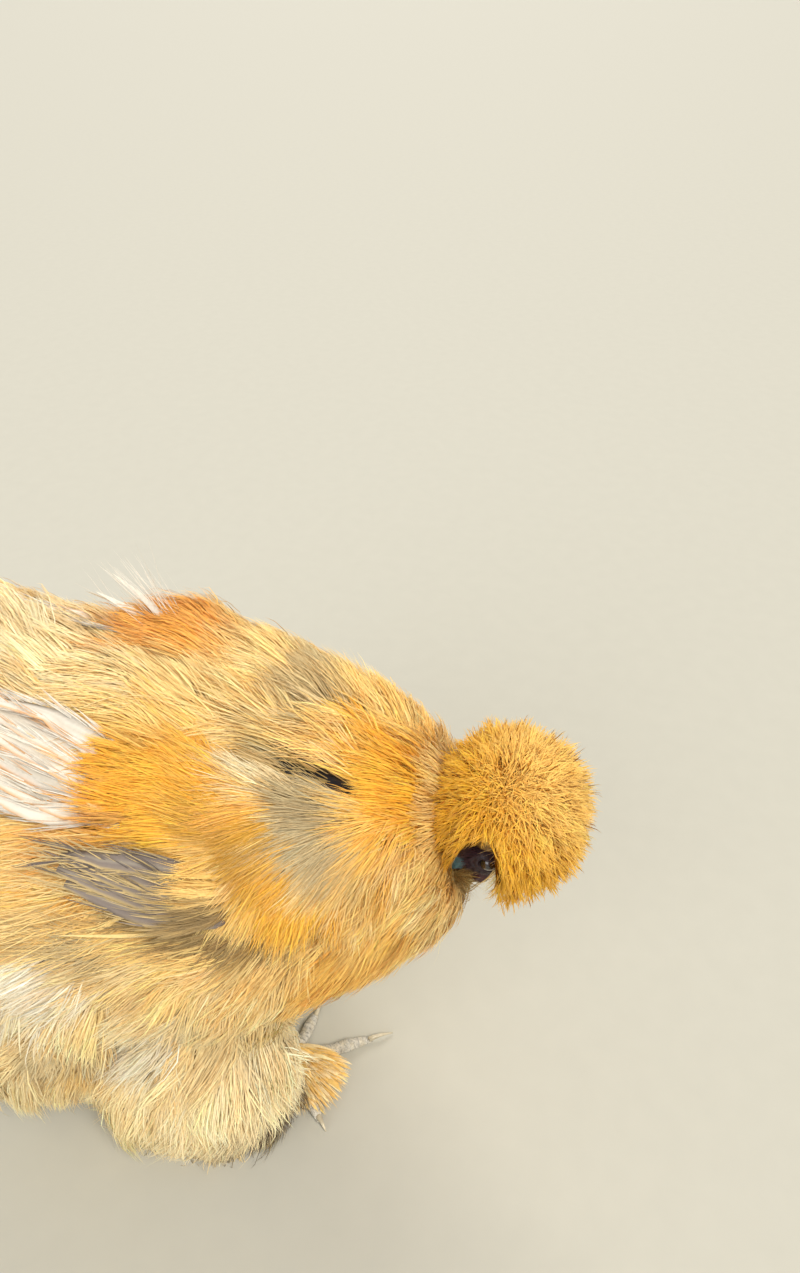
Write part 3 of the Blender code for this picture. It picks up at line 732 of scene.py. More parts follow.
def strands(name, root, mid, tip, facing, width, colours, patch, rows=3, tipLight=0.12, outward=None):
    shape = strandShape[rows]
    count = len(root)
    verts = np.empty((count, 2 * rows + 1, 3))
    shades = np.empty((count, 2 * rows + 1, 3))
    uvs = np.empty((count, 2 * rows + 1, 2))
    for i, share in enumerate(shape["at"]):
        centre = curveAt(root, mid, tip, share)
        along = unit(2 * (1 - share) * (mid - root) + 2 * share * (tip - mid))
        side = unit(np.cross(along, facing)) * (0.5 * width * shape["width"][i])[:, None]
        ring = colours * shape["shade"][i]
        for k, sign in enumerate((-1, 1)):
            verts[:, 2 * i + k] = centre + side * sign
            shades[:, 2 * i + k] = ring
            uvs[:, 2 * i + k] = patch + np.array((sign * 0.5, share - 0.5)) * patchSize
    verts[:, -1] = tip
    # Painted light at the tip, turned towards pale cream.
    shades[:, -1] = tinted(colours * shape["shade"][-1], tipLight, "paleCream")
    uvs[:, -1] = patch + np.array((0, 0.5)) * patchSize
    verts[..., 2] = np.maximum(verts[..., 2], lowest)
    made = stripMesh(name, verts, shades, np.clip(uvs, 0.001, 0.999), rows)
    if outward is not None:
        # Silk scatters light, so a lock is lit mostly as the body under it is.
        spread = np.repeat(outward, 2 * rows + 1, axis=0) * softLight
        own = vertexNormals(made.data) * (1 - softLight)
        made.data.normals_split_custom_set_from_vertices(unit(spread + own).tolist())
    return made


def stripMesh(name, verts, shades, uvs, rows):
    count, each = verts.shape[:2]
    corners = []
    for i in range(rows - 1):
        corners += [2 * i, 2 * i + 1, 2 * i + 3, 2 * i + 2]
    corners += [2 * rows - 2, 2 * rows - 1, 2 * rows]
    starts = [4 * i for i in range(rows)]
    perStrand = len(corners)
    loops = (np.arange(count)[:, None] * each + np.array(corners)).ravel()
    begins = (np.arange(count)[:, None] * perStrand + np.array(starts)).ravel()
    mesh = bpy.data.meshes.new(name)
    mesh.vertices.add(count * each)
    mesh.vertices.foreach_set("co", verts.astype(np.float32).ravel())
    mesh.loops.add(len(loops))
    mesh.loops.foreach_set("vertex_index", loops.astype(np.int32))
    mesh.polygons.add(len(begins))
    mesh.polygons.foreach_set("loop_start", begins.astype(np.int32))
    mesh.update(calc_edges=True)
    layer = mesh.uv_layers.new(name="OFBake")
    layer.uv.foreach_set("vector", uvs.reshape(-1, 2)[loops].astype(np.float32).ravel())
    paint(mesh, np.clip(shades, 0, 1).reshape(-1, 3))
    mesh.shade_smooth()
    made = bpy.data.objects.new(name, mesh)
    bird.objects.link(made)
    return made


class SkinMap:
    # What the coat needs to know of the skin: its triangles, its parts and its unwrap.

    def __init__(self, skin):
        mesh = skin.data
        self.places, self.corners, self.loops = readMesh(mesh)
        self.normals = vertexNormals(mesh)
        uvs = np.empty(len(mesh.loops) * 2)
        mesh.uv_layers["OFBake"].uv.foreach_get("vector", uvs)
        self.uvs = uvs.reshape(-1, 2)
        self.tree = BVHTree.FromPolygons(self.places.tolist(), self.corners.tolist())
        first, second, third = (self.places[self.corners[:, k]] for k in range(3))
        cross = np.cross(second - first, third - first)
        self.areas = np.linalg.norm(cross, axis=1) / 2
        self.centres = (first + second + third) / 3
        self.partOf = self.nearestNode(self.centres + unit(cross) * skinPlan["coatDepth"])

    def nearestNode(self, places):
        polygons, owner, verts = [], [], []
        for index, node in enumerate(fleshNodes):
            nodePlaces, corners, _ = readMesh(frame["nodes"][node].data)
            polygons += (corners + len(verts)).tolist()
            owner += [index] * len(corners)
            verts += nodePlaces.tolist()
        tree = BVHTree.FromPolygons(verts, polygons)
        return np.array([owner[tree.find_nearest(place)[2]] for place in places.tolist()])

    def sample(self, weights, count, rng):
        # Random roots, as many per area as the weights say.
        share = self.areas * weights
        chosen = rng.choice(len(share), size=count, p=share / share.sum())
        mix = triangleMix(count, rng)
        bary = np.column_stack([1 - mix.sum(axis=1), mix])[:, :, None]
        root = (self.places[self.corners[chosen]] * bary).sum(axis=1)
        normal = unit((self.normals[self.corners[chosen]] * bary).sum(axis=1))
        patch = (self.uvs[self.loops[chosen]] * bary).sum(axis=1)
        return root, normal, patch

    def patchAt(self, places):
        found = np.array([self.tree.find_nearest(place)[2] for place in places.tolist()])
        return self.uvs[self.loops[found]].mean(axis=1)

    def nearest(self, places):
        found = [self.tree.find_nearest(place)[:2] for place in places.tolist()]
        return np.array([f[0] for f in found]), np.array([f[1] for f in found])


def gather(places, spacing, rng):
    # For each place, the index of the one that leads it. One place in so many leads.
    guides = rng.choice(len(places), size=max(len(places) // spacing, 1), replace=False)
    tree = KDTree(len(guides))
    for index, guide in enumerate(guides):
        tree.insert(places[guide], index)
    tree.balance()
    return guides[np.array([tree.find(place)[1] for place in places.tolist()])]


clumpPlan = {"differ": (0.6, 1.15), "tipApart": 0.15, "midApart": 0.6, "midPull": 0.55}


def clump(root, mid, tip, spacing, strength, rng):
    # Locks near each other lean together.
    owner = gather(root, spacing, rng)
    pull = (strength * rng.uniform(*clumpPlan["differ"], len(root)))[:, None]
    midPull = pull * clumpPlan["midPull"]
    apart = root - root[owner]
    lead = unit(tip[owner] - root[owner]) * np.linalg.norm(tip - root, axis=1, keepdims=True)
    newTip = tip * (1 - pull) + (root[owner] + lead + apart * clumpPlan["tipApart"]) * pull
    newMid = mid * (1 - midPull) + (mid[owner] + apart * clumpPlan["midApart"]) * midPull
    return newMid, newTip, owner


# How the coat lies on each part: how far it runs back, down and outwards, and at which heights.
flowPlan = {
    "neck": {"from": (0, -4, 2), "spread": 0.55, "back": 0.95, "down": 0.10, "steep": 0.70},
    "body": {"back": 1.0, "lowBack": 0.45, "down": 0.30, "lowDown": 0.95, "low": (0.20, 0.09),
             "out": 0.16, "high": (0.16, 0.22)},
    "tail": {"back": 1.0, "follow": 0.25, "down": 0.12},
    "wing": {"back": 1.0, "frontBack": 0.55, "down": 0.16, "frontDown": 1.05, "least": 0.35, "out": 0.25,
             "front": (-0.02, -0.085)},
    "leg": {"out": 0.10, "back": 0.22, "down": 1.0},
}


def flowOf(part, root, normal):
    side = np.sign(root[:, 0])
    upright = 1 - np.abs(normal[:, 2])
    way = np.zeros_like(root)
    if part == "neck":
        plan = flowPlan["neck"]
        away = root - fromHead(np.array(plan["from"]) * mm)
        away[:, 1] = 0
        way = unit(away) * plan["spread"] + np.array((0, plan["back"], 0))
        way[:, 2] -= plan["steep"] * upright + plan["down"]
    elif part in ("trunk", "cushion"):
        plan = flowPlan["body"]
        low = smooth(root[:, 2], *plan["low"])
        way[:, 1] = plan["back"] + (plan["lowBack"] - plan["back"]) * low
        way[:, 2] = -(plan["down"] + plan["lowDown"] * low) * upright
        way[:, 0] = side * plan["out"] * smooth(root[:, 2], *plan["high"])
    elif part == "tail":
        plan = flowPlan["tail"]
        way[:, 1] = plan["back"]
        way[:, 2] = plan["follow"] * normal[:, 2] - plan["down"]
    elif part.startswith("wing"):
        plan = flowPlan["wing"]
        front = smooth(root[:, 1], *plan["front"])
        way[:, 1] = plan["back"] + (plan["frontBack"] - plan["back"]) * front
        way[:, 2] = -(plan["down"] + plan["frontDown"] * front) * (plan["least"] + upright)
        way[:, 0] = side * plan["out"] * front
    else:
        plan = flowPlan["leg"]
        way[:, 0] = side * plan["out"]
        way[:, 1] = plan["back"]
        way[:, 2] = -plan["down"]
    return way


# Each coat piece: its part of the skin, its side (0 is both), how many locks, their length, width and height
# in millimetres, how many join in a clump, how strongly, and how loose its tufts are.
coatColumns = ("part", "side", "count", "length", "width", "height", "clump", "pull", "ruffle")
coatPlan = {
    "coatNeck": ("neck", 0, 37000, 22, 0.56, 7.5, 13, 0.42, 0.13),
    "coatTrunkRight": ("trunk", -1, 39000, 29, 0.64, 8, 14, 0.45, 0.20),
    "coatTrunkLeft": ("trunk", 1, 33000, 30, 0.74, 8, 14, 0.45, 0.20),
    "coatCushion": ("cushion", 0, 37000, 32, 0.72, 8.5, 15, 0.45, 0.27),
    "coatTail": ("tail", 0, 13000, 40, 0.75, 9, 15, 0.5, 0.34),
    "coatWingRight": ("wing_right", 0, 30000, 26, 0.52, 7.5, 15, 0.48, 0.12),
    "coatWingLeft": ("wing_left", 0, 23000, 26, 0.6, 7.5, 15, 0.48, 0.12),
    "coatLegRight": ("leg_right", 0, 28000, 32, 0.6, 9, 14, 0.45, 0.34),
    "coatLegLeft": ("leg_left", 0, 18000, 32, 0.8, 9, 14, 0.45, 0.34),
}
coatLie = {
    "crown": 17.5,  # millimetres round the crown's knob are left to the crest
    "sways": ((48 * mm, 0.32), (17 * mm, 0.22)),  # slow turns of the lie, by size and strength
    "turn": 0.16,  # each lock's own turn
    "tuft": 150,  # one lock in so many leads a tuft
    "lowRuffle": (0.16, 0.15, 0.09),  # looser low on the body, between these heights
    "length": (0.24, 0.45, 1.5),  # spread, least and most
    "height": (0.45, 1.06),
    "tuftHeight": (1.2, -0.45, 0.5),
    "wingRear": (0.95, -0.024, 0.010),  # how much higher the wing's rear stands
    "fly": (0.05, 1.1, 1.6),  # the share of locks that stand off, and how much
    "hang": (0.105, 0.055),  # heights where the belly's locks start to hang, and hang fully
    "hangDrop": 24 * mm,
    "drape": 0.8,  # how closely the tips follow the skin
    "hangDrape": 0.5,
    "legDrape": 0.35,
    "bend": 0.42,  # where a lock stands highest, along its length
    "bendHeight": (0.85, 1.2),
    "sideBend": 0.06,
    "rootDepth": 0.6 * mm,
    "gather": (0.10, 0.5, 0.3),  # how much a tuft's tips draw together, more where it is loose, at most
    "facing": 0.35,
    "width": (0.7, 1.25),
    "faceGap": 0.62,
}
coatTone = {"depth": 4 * mm, "tuft": 0.05, "lock": 0.08, "clump": 0.07, "warm": 0.05, "blue": 2.2,
            "soilLevel": 1.6, "soilShare": 0.55, "soilHeight": (0.030, 0.008), "soilFront": (-0.022, -0.042)}


def coatWeights(plan, skinMap):
    # The coat covers its part of the skin, but not the face and the crown.
    weights = (skinMap.partOf == fleshNodes.index(plan["part"])).astype(float)
    if plan["side"]:
        weights *= (skinMap.centres[:, 0] * plan["side"] > 0)
    local = toHead(skinMap.centres) / mm
    weights *= 1 - faceShare(local)
    return weights * (np.linalg.norm(local - np.array(skinPlan["knobPlace"]), axis=1) > coatLie["crown"])


def growCoat(name, plan, skinMap, plates, finish, seed):
    rng = np.random.default_rng(seed)
    part, count = plan["part"], plan["count"]
    onBody, onWing, onLeg = part in ("trunk", "cushion"), part.startswith("wing"), part.startswith("leg")
    root, normal, patch = skinMap.sample(coatWeights(plan, skinMap), count, rng)
    sway = sum(drift(root, size, seed + index) * strength for index, (size, strength)
               in enumerate(coatLie["sways"], 1))
    sway += rng.normal(0, coatLie["turn"], count)
    tuft = gather(root, coatLie["tuft"], rng)
    more, high, low = coatLie["lowRuffle"]
    ruffle = plan["ruffle"] + more * onBody * smooth(root[:, 2], high, low)
    sway += rng.normal(0, 1, count)[tuft] * ruffle
    way = unit(alongSkin(flowOf(part, root, normal), normal))
    across = np.cross(normal, way)
    way = unit(way * np.cos(sway)[:, None] + across * np.sin(sway)[:, None])
    spread, least, most = coatLie["length"]
    length = plan["length"] * mm * rng.normal(1, spread, count).clip(least, most)
    height = plan["height"] * mm * rng.uniform(*coatLie["height"], count)
    spread, least, most = coatLie["tuftHeight"]
    height *= 1 + np.clip(rng.normal(0, 1, count)[tuft] * ruffle * spread, least, most)
    if onWing:
        more, front, rear = coatLie["wingRear"]
        height *= 1 + more * smooth(root[:, 1], front, rear)
    height *= 1 - nearParting(root, *parting["low"])
    share, least, most = coatLie["fly"]
    fly = rng.random(count) < share
    height = np.where(fly, height * rng.uniform(least, most, count), height)
    far = root + way * length[:, None]
    ground, out = skinMap.nearest(far)
    hang = smooth(root[:, 2], *coatLie["hang"]) * onBody
    drape = (coatLie["legDrape"] + hang if onLeg else coatLie["drape"] - coatLie["hangDrape"] * hang)[:, None]
    above = height[:, None]
    tip = far * (1 - drape) + (ground + out * above) * drape + normal * above * (1 - drape)
    tip[:, 2] -= coatLie["hangDrop"] * hang
    mid = root + way * (length * coatLie["bend"])[:, None]
    mid += normal * (height * rng.uniform(*coatLie["bendHeight"], count))[:, None]
    mid += across * (rng.normal(0, coatLie["sideBend"], count) * (1 + ruffle * 4) * length)[:, None]
    root = root - normal * coatLie["rootDepth"]
    mid, tip, owner = clump(root, mid, tip, plan["clump"], plan["pull"], rng)
    least, more, most = coatLie["gather"]
    tip += (tip[tuft] - tip) * (least + more * ruffle).clip(0, most)[:, None]
    colours = plumageToneAndShade(root + normal * coatTone["depth"]) * varied(rng, coatTone["tuft"], count, tuft)
    colours = colours * varied(rng, coatTone["lock"], count) * varied(rng, coatTone["clump"], count, owner)
    warm = rng.normal(0, coatTone["warm"], count)[owner]
    colours = colours * np.column_stack([np.ones(count), 1 - warm, 1 - coatTone["blue"] * warm])
    if onLeg:
        soil = smooth(tip[:, 2], *coatTone["soilHeight"]) * (rng.random(count) < coatTone["soilShare"])
        soil *= smooth(tip[:, 1], *coatTone["soilFront"])
        colours = tinted(colours, soil, "soil", coatTone["soilLevel"])
    keep = keepOutOfParting(root, mid, tip, rng)
    if part == "neck":
        keep &= clearOfFace(root, mid, tip, coatLie["faceGap"])
    if not onWing:
        keep &= clearOfPlates(mid, tip, plates)
    # Painted shade on the locks beside the parting.
    colours = colours * (1 - nearParting(root, *parting["shade"])[:, None])
    facing = unit(normal + rng.normal(0, coatLie["facing"], (count, 3)))
    width = plan["width"] * mm * rng.uniform(*coatLie["width"], count)
    piece = strands(name, root[keep], mid[keep], tip[keep], facing[keep], width[keep], colours[keep],
                    patch[keep], outward=normal[keep])
    return handIn(piece, "plumage_body" if part in ("neck", "trunk") else "plumage_loose", finish)


def keepOutOfParting(root, mid, tip, rng):
    width = parting["width"] * rng.uniform(*parting["ragged"], len(root)) * (1 + 0.5 * drift(root, 9 * mm, 8))
    width *= rng.random(len(root)) > parting["crossing"]
    clear = np.ones(len(root), bool)
    front, rear = parting["ends"]
    for share in (0.3, 0.55, 0.8, 1.0):
        place = curveAt(root, mid, tip, share)
        inside = smooth(np.minimum(place[:, 1] - front, rear - place[:, 1]), 0, parting["fade"])
        clear &= partingDistance(place) > width * (parting["narrowest"] + (1 - parting["narrowest"]) * inside)
    return clear


# The bare cheek shows between the crest and the neck, on both sides.
faceOpening = {"cheek": (-13.7, -2.5, -5), "out": (-0.66, -0.09, 0.75), "radius": 10.8, "ragged": 0.12}


def clearOfFace(root, mid, tip, size=1.0):
    clear = np.ones(len(root), bool)
    for side in (-1, 1):
        flip = np.array((-side, 1, 1))
        cheek = headMiddle + np.array(faceOpening["cheek"]) * flip * mm
        out = unit(np.array(faceOpening["out"]) * flip)
        for share in (0.35, 0.55, 0.75, 0.9, 1.0):
            place = curveAt(root, mid, tip, share)
            run = (place - cheek) @ out
            off = np.linalg.norm(place - cheek - np.maximum(run, 0)[:, None] * out, axis=1)
            ragged = 1 + faceOpening["ragged"] * drift(place, 6 * mm, 9)
            clear &= off > faceOpening["radius"] * size * mm * ragged
    return clear


plateGap = {"box": 4 * mm, "surface": 4.5 * mm}


def clearOfPlates(mid, tip, plates):
    # Locks of the body that would lie over the flight feathers are left out.
    clear = np.ones(len(tip), bool)
    for tree, low, high in plates:
        for place in (mid, tip):
            near = ((place > low - plateGap["box"]) & (place < high + plateGap["box"])).all(axis=1)
            for index in np.nonzero(near & clear)[0]:
                if tree.find_nearest(place[index].tolist())[3] < plateGap["surface"]:
                    clear[index] = False
    return clear


# The crest, a globe of locks that all start at the crown.

crestPlan = {
    "count": 27500,
    "width": 0.7,
    "depth": 0.27,  # how far inside the globe the tips end, at most
    "fly": (0.06, 1.0, 1.07),  # the share of locks that stand off, and how far they reach
    "clump": 11,
    "pull": 0.4,
    "whorl": (-0.25, -0.05, 0.97),
    "lie": (6, 17),  # millimetres that a lock runs along the globe
    "turn": 0.35,
    "waves": ((19 * mm, 0.045, 72), (8 * mm, 0.03, 73)),  # the globe's tufts: size, depth and seed
    "bend": (0.86, 0.97),
    "tipSpread": 0.8 * mm,
    "rootReach": 14.5 * mm,  # how far from the knob's middle the roots are
    "facing": 0.3,
    "clumpTone": 0.09,
    "lockTone": 0.06,
}


def growCrest(skinMap, finish):
    # Each lock rises from the crown, bends over and lies on the globe, away from the whorl on top.
    rng = np.random.default_rng(71)
    first, second, third, cross = trianglesOf("crest")
    outward = (unit(cross) * unit((first + second + third) / 3 - crestMiddle)).sum(axis=1)
    weights = np.linalg.norm(cross, axis=1) * (outward > 0.25)
    count = crestPlan["count"]
    chosen = rng.choice(len(weights), size=count, p=weights / weights.sum())
    mix = triangleMix(count, rng)
    target = first[chosen] + (second - first)[chosen] * mix[:, :1] + (third - first)[chosen] * mix[:, 1:]
    spoke = target - crestMiddle
    way = unit(spoke)
    whorl = unit(np.array(crestPlan["whorl"]))
    away = way * (way @ whorl)[:, None] - whorl
    slope = np.linalg.norm(away, axis=1)
    away = unit(away + np.cross(way, rng.normal(0, crestPlan["turn"], (count, 3))))
    share, least, most = crestPlan["fly"]
    fly = rng.random(count) < share
    lie = rng.uniform(*crestPlan["lie"], count) * mm * np.where(fly, 0.3, 1)
    lie *= 0.35 + 0.65 * smooth(slope, 0, 0.7)
    reach = 1 - crestPlan["depth"] * rng.random(count) ** 1.4
    reach = np.where(fly, rng.uniform(least, most, count), reach)
    reach *= 1 + sum(depth * drift(target, size, seed) for size, depth, seed in crestPlan["waves"])
    far = np.linalg.norm(spoke, axis=1) * reach
    tip = crestMiddle + unit(spoke + away * (0.5 * lie)[:, None]) * far[:, None]
    bend = unit(spoke - away * lie[:, None])
    mid = crestMiddle + bend * (far * rng.uniform(*crestPlan["bend"], count))[:, None]
    tip = tip + rng.normal(0, crestPlan["tipSpread"], (count, 3))
    tip, owner = clumpByTip(tip, crestPlan["clump"], crestPlan["pull"], rng)
    knob = fromHead(np.array(skinPlan["knobPlace"]) * mm)
    root, _ = skinMap.nearest(knob + unit(mid - knob) * crestPlan["rootReach"])
    shade = rng.normal(0, crestPlan["clumpTone"], count)[owner] + rng.normal(0, crestPlan["lockTone"], count)
    colours = crestToneAndLight(way) * (1 + shade)[:, None]
    keep = clearOfFace(root, mid, tip)
    facing = unit(way + rng.normal(0, crestPlan["facing"], (count, 3)))
    width = crestPlan["width"] * mm * rng.uniform(*coatLie["width"], count)
    piece = strands("coatCrest", root[keep], mid[keep], tip[keep], facing[keep], width[keep], colours[keep],
                    skinMap.patchAt(root[keep]), rows=4, tipLight=0.14, outward=way[keep])
    return handIn(piece, "plumage_loose", finish)


# Golden orange, with a painted highlight in peach towards her upper left, and painted shade, streaked, low on
# the right.
crestLightAndShade = {"pale": ((0.15, -0.75, 0.75), (0.1, 0.9), 0.62),
              "dark": ((-0.5, 0.55, -0.55), (0.2, 0.95), 0.35)}


def crestToneAndLight(way):
    share = {name: strength * smooth(way @ unit(np.array(towards)), *span)
             for name, (towards, span, strength) in crestLightAndShade.items()}
    colours = tinted(np.tile(tone("crest"), (len(way), 1)), share["pale"], "peach")
    streak = 0.5 + 0.5 * drift(way * 40 * mm, 9 * mm, 33)
    return colours * (1 - share["dark"] * streak)[:, None]


def clumpByTip(tip, spacing, strength, rng):
    owner = gather(tip, spacing, rng)
    pull = (strength * rng.uniform(0.5, 1.2, len(tip)))[:, None]
    reach = np.linalg.norm(tip - crestMiddle, axis=1, keepdims=True)
    aim = crestMiddle + unit(tip[owner] - crestMiddle) * reach
    return tip * (1 - pull) + aim * pull, owner


# Flight feathers. Each is a blade with a shaft, and silky barbs come loose behind it and at its edges.

flightPlan = {
    # How many, half a vane's width and its closed share, barbs on each side, tones, where a row starts
    # and ends, how high it lies, its lowest place on the plate, how far it climbs, its share of stray barbs.
    "secondaries": {"count": 6, "vane": 10.0, "blade": 0.52, "barbs": 70, "tone": "white", "edge": "orange",
                    "start": -6, "rise": 1.0, "from": 0.0, "climb": 0.22, "reach": 1.0, "stray": 0.08,
                    "leftSunk": 11},
    "primaries": {"count": 5, "vane": 9.0, "blade": 0.52, "barbs": 30, "tone": "lilac", "edge": "cream",
                  "start": -8, "rise": 0.2, "from": 0.34, "climb": 0.16, "reach": 0.80, "stray": 0.6,
                  "leftSunk": 0},
}
bodyAxis = np.array((0.0, 0.0, 140.0)) * mm
plateRadius = 0.11  # farther out than every plate
bladePlan = {"steps": 12, "margin": 4 * mm, "sunk": 7.5 * mm, "sunkEnds": (0.02, 0.42), "lift": (0.2, 0.45),
             "shaft": 0.35 * mm, "tilt": 0.26 * mm, "camber": 0.06 * mm, "thick": 0.25 * mm,
             "level": (0.80, 1.15), "edge": 0.7, "shaftTone": 0.35, "overlapShadow": 0.4,
             "stretch": np.array((1, 0.5, 1))}


def plateOf(node, margin=0.0):
    # A plate's tree and box, and the angles of its lower and upper edge round the body's axis.
    low, high = boxOf(node)
    inner, outer = (low[0], high[0]) if node.endswith("left") else (high[0], low[0])
    top = math.atan2(high[2] - margin - bodyAxis[2], inner)
    bottom = math.atan2(low[2] + margin - bodyAxis[2], outer)
    return treeOf(frame["nodes"][node].data), low, high, bottom, top


def onPlate(tree, angle, y):
    guess = bodyAxis + np.array((math.cos(angle), 0, math.sin(angle))) * plateRadius
    guess[1] = y
    place, normal, _, _ = tree.find_nearest(guess.tolist())
    return np.array((place.x, y, place.z)), np.array(normal)


def makeFlights(row, sideName, skinMap, finish, satin, seed):
    plan = flightPlan[row]
    node = f"{row}_{sideName}"
    side = 1 if sideName == "left" else -1
    rng = np.random.default_rng(seed)
    tree, low, high, bottom, top = plateOf(node, bladePlan["margin"])
    start = low[1] + plan["start"] * mm
    along = np.linspace(0, 1, bladePlan["steps"])
    vanes, barbs = [], []
    for index in range(plan["count"]):
        share = (index + 0.5) / plan["count"]
        angle = bottom + (top - bottom) * (plan["from"] + (1 - plan["from"]) * share)
        reach = (0.80 + 0.2 * math.sin(math.pi * (0.2 + 0.65 * share))) * plan["reach"]
        reach *= rng.uniform(0.94, 1.02)
        turns = angle + side * plan["climb"] * (along - 0.5)
        found = [onPlate(tree, turn, y) for turn, y in zip(turns, start + (high[1] - start) * reach * along)]
        line, face = (np.array(values) for values in zip(*found))
        outward = line - bodyAxis
        outward[:, 1] = 0
        face = unit(unit(face) + unit(outward) * 2)
        for _ in range(3):
            line[1:-1] = (line[:-2] + 2 * line[1:-1] + line[2:]) / 4
        sunk = plan["rise"] * mm - bladePlan["sunk"] * (1 - smooth(along, *bladePlan["sunkEnds"]))
        if side > 0:
            sunk = sunk - plan["leftSunk"] * mm
        lift = (bladePlan["lift"][0] + bladePlan["lift"][1] * index) * mm
        line = line + face * (lift + sunk)[:, None]
        vanes.append((line, face))
        for sign in (-1, 1):
            barbs.append(growBarbs(plan, line, face, sign, rng))
    root, mid, tip, face, colours = (np.concatenate(values) for values in zip(*barbs))
    width = rng.uniform(0.3, 0.65, len(root)) * mm
    loose = strands(f"{row}Barbs_{sideName}", root, mid, tip, face, width, colours, skinMap.patchAt(root),
                    tipLight=0.1)
    handIn(loose, "plumage_loose", finish)
    return handIn(makeVanes(f"{row}Vanes_{sideName}", plan, vanes, side, rng), "plumage_loose", satin, node)


barbPlan = {
    "from": 0.12,  # the first barb, along the shaft
    "inside": (0.7, 0.95, 0.6),  # where barbs start on the blade, and how much nearer at its tip
    "fray": (0.55, 0.8, 0.35, 0.25),  # it starts there, its strength, and that of a share of single barbs
    "groups": 2.4,
    "out": (0.20, 0.16, 0.35, 1.2),
    "back": (1.5, 0.9, 0.4, 0.7, 1.2),
    "lift": (0.3, 0.5, 2.6),
    "bend": (0.75, 0.35, 0.5),
    "streaks": (5.0, 0.86, 0.6),  # how close, how rare and how strong
    "tone": (0.95, 0.13, 0.85, 1.1),
    "facing": 0.12,
}


def growBarbs(plan, line, face, sign, rng):
    # The loose barbs on one side of a feather.
    count, last, vane = plan["barbs"], len(line) - 1, plan["vane"] * mm
    at = np.sort(rng.uniform(barbPlan["from"], 1.0, count)) * last
    base = np.minimum(at.astype(int), last - 1)
    part = (at - base)[:, None]
    root = line[base] * (1 - part) + line[base + 1] * part
    normal = unit(face[base] * (1 - part) + face[base + 1] * part)
    along = unit(line[base + 1] - line[base])
    across = np.cross(normal, along) * sign
    share = at / last
    least, most, nearer = barbPlan["inside"]
    inner = vane * plan["blade"] * rng.uniform(least, most, count) * (1 - nearer * smooth(share, 0.5, 1))
    root = root + across * inner[:, None] + normal * 0.15 * mm
    start, strength, single, few = barbPlan["fray"]
    fray = smooth(share, start, 1.0) * strength + single * (rng.random(count) < few)
    group = 0.5 + 0.5 * np.sin(at * barbPlan["groups"] + rng.uniform(0, 6))
    first, more, least, most = barbPlan["out"]
    reach = (vane * (first + more * group) * rng.uniform(least, most, count))[:, None]
    first, frayed, more, least, most = barbPlan["back"]
    back = (vane * (first + frayed * fray + more * group) * rng.uniform(least, most, count))[:, None]
    first, spread, more = barbPlan["lift"]
    lift = (rng.normal(first, spread, count) * mm * (1 + more * fray))[:, None]
    tip = root + across * reach + along * back + normal * lift
    outShare, backShare, rise = barbPlan["bend"]
    mid = root + across * reach * outShare + along * back * backShare + normal * rise * mm
    close, rare, strength = barbPlan["streaks"]
    streak = np.sin(at * close + rng.uniform(0, 6)) > rare
    edge = streak | (rng.random(count) < plan["stray"])
    level, spread, least, most = barbPlan["tone"]
    colours = tinted(tone(plan["tone"]), strength * edge, plan["edge"])
    colours = colours * (rng.normal(level, spread, count) * rng.uniform(least, most))[:, None]
    return root, mid, tip, unit(normal + rng.normal(0, barbPlan["facing"], (count, 3))), colours


def makeVanes(name, plan, vanes, side, rng):
    # The closed part of each vane is a thin curved blade, with the shaft raised along its middle.
    bm = bmesh.new()
    marks = []  # of each vertex: its feather, and how far it is from the upper edge (-1) to the lower (1)
    for feather, (line, face) in enumerate(vanes):
        rings = []
        last = len(line) - 1
        for index, (place, normal) in enumerate(zip(line, face)):
            along = unit(line[min(index + 1, last)] - line[max(index - 1, 0)])
            across = np.cross(normal, along)
            outline = math.sin(math.pi * min(0.25 + 0.66 * index / last, 0.97)) ** 0.7
            half = plan["vane"] * mm * plan["blade"] * outline
            ring = []
            for k in range(-3, 4):
                # The lower edge lies over the next feather.
                rise = bladePlan["shaft"]
                if k:
                    rise = -bladePlan["tilt"] * side * k - bladePlan["camber"] * abs(k)
                ring.append(bm.verts.new(place + across * (half * k / 3) + normal * rise))
                marks.append((feather, -side * k / 3))
            rings.append(ring)
        for ring, following in zip(rings, rings[1:]):
            for k in range(6):
                bm.faces.new((ring[k], ring[k + 1], following[k + 1], following[k]))
    tree = KDTree(len(marks))
    for index, vert in enumerate(bm.verts):
        tree.insert(vert.co, index)
    tree.balance()
    bmesh.ops.recalc_face_normals(bm, faces=bm.faces)
    bmesh.ops.solidify(bm, geom=bm.faces[:], thickness=bladePlan["thick"])
    piece = newPiece(name, bm)
    places = readMesh(piece.data)[0]
    found = [tree.find(place)[1] for place in places.tolist()]
    feather, across = np.array(marks)[found].T
    level = rng.uniform(*bladePlan["level"], len(vanes))[feather.astype(int)]
    streak = smooth(drift(places * bladePlan["stretch"], 44 * mm, 61), -0.1, 0.4)
    edge = streak * smooth(np.abs(across), 0.6, 1)
    colours = tinted(tone(plan["tone"]) * level[:, None], bladePlan["edge"] * edge, plan["edge"])
    colours = tinted(colours, bladePlan["shaftTone"] * (1 - smooth(np.abs(across), 0, 0.3)), "horn", 0.8)
    # Painted shadow on each blade's upper edge, where it lies under its neighbour.
    paint(piece.data, colours * (1 - bladePlan["overlapShadow"] * smooth(-across, 0.2, 1))[:, None])
    return piece


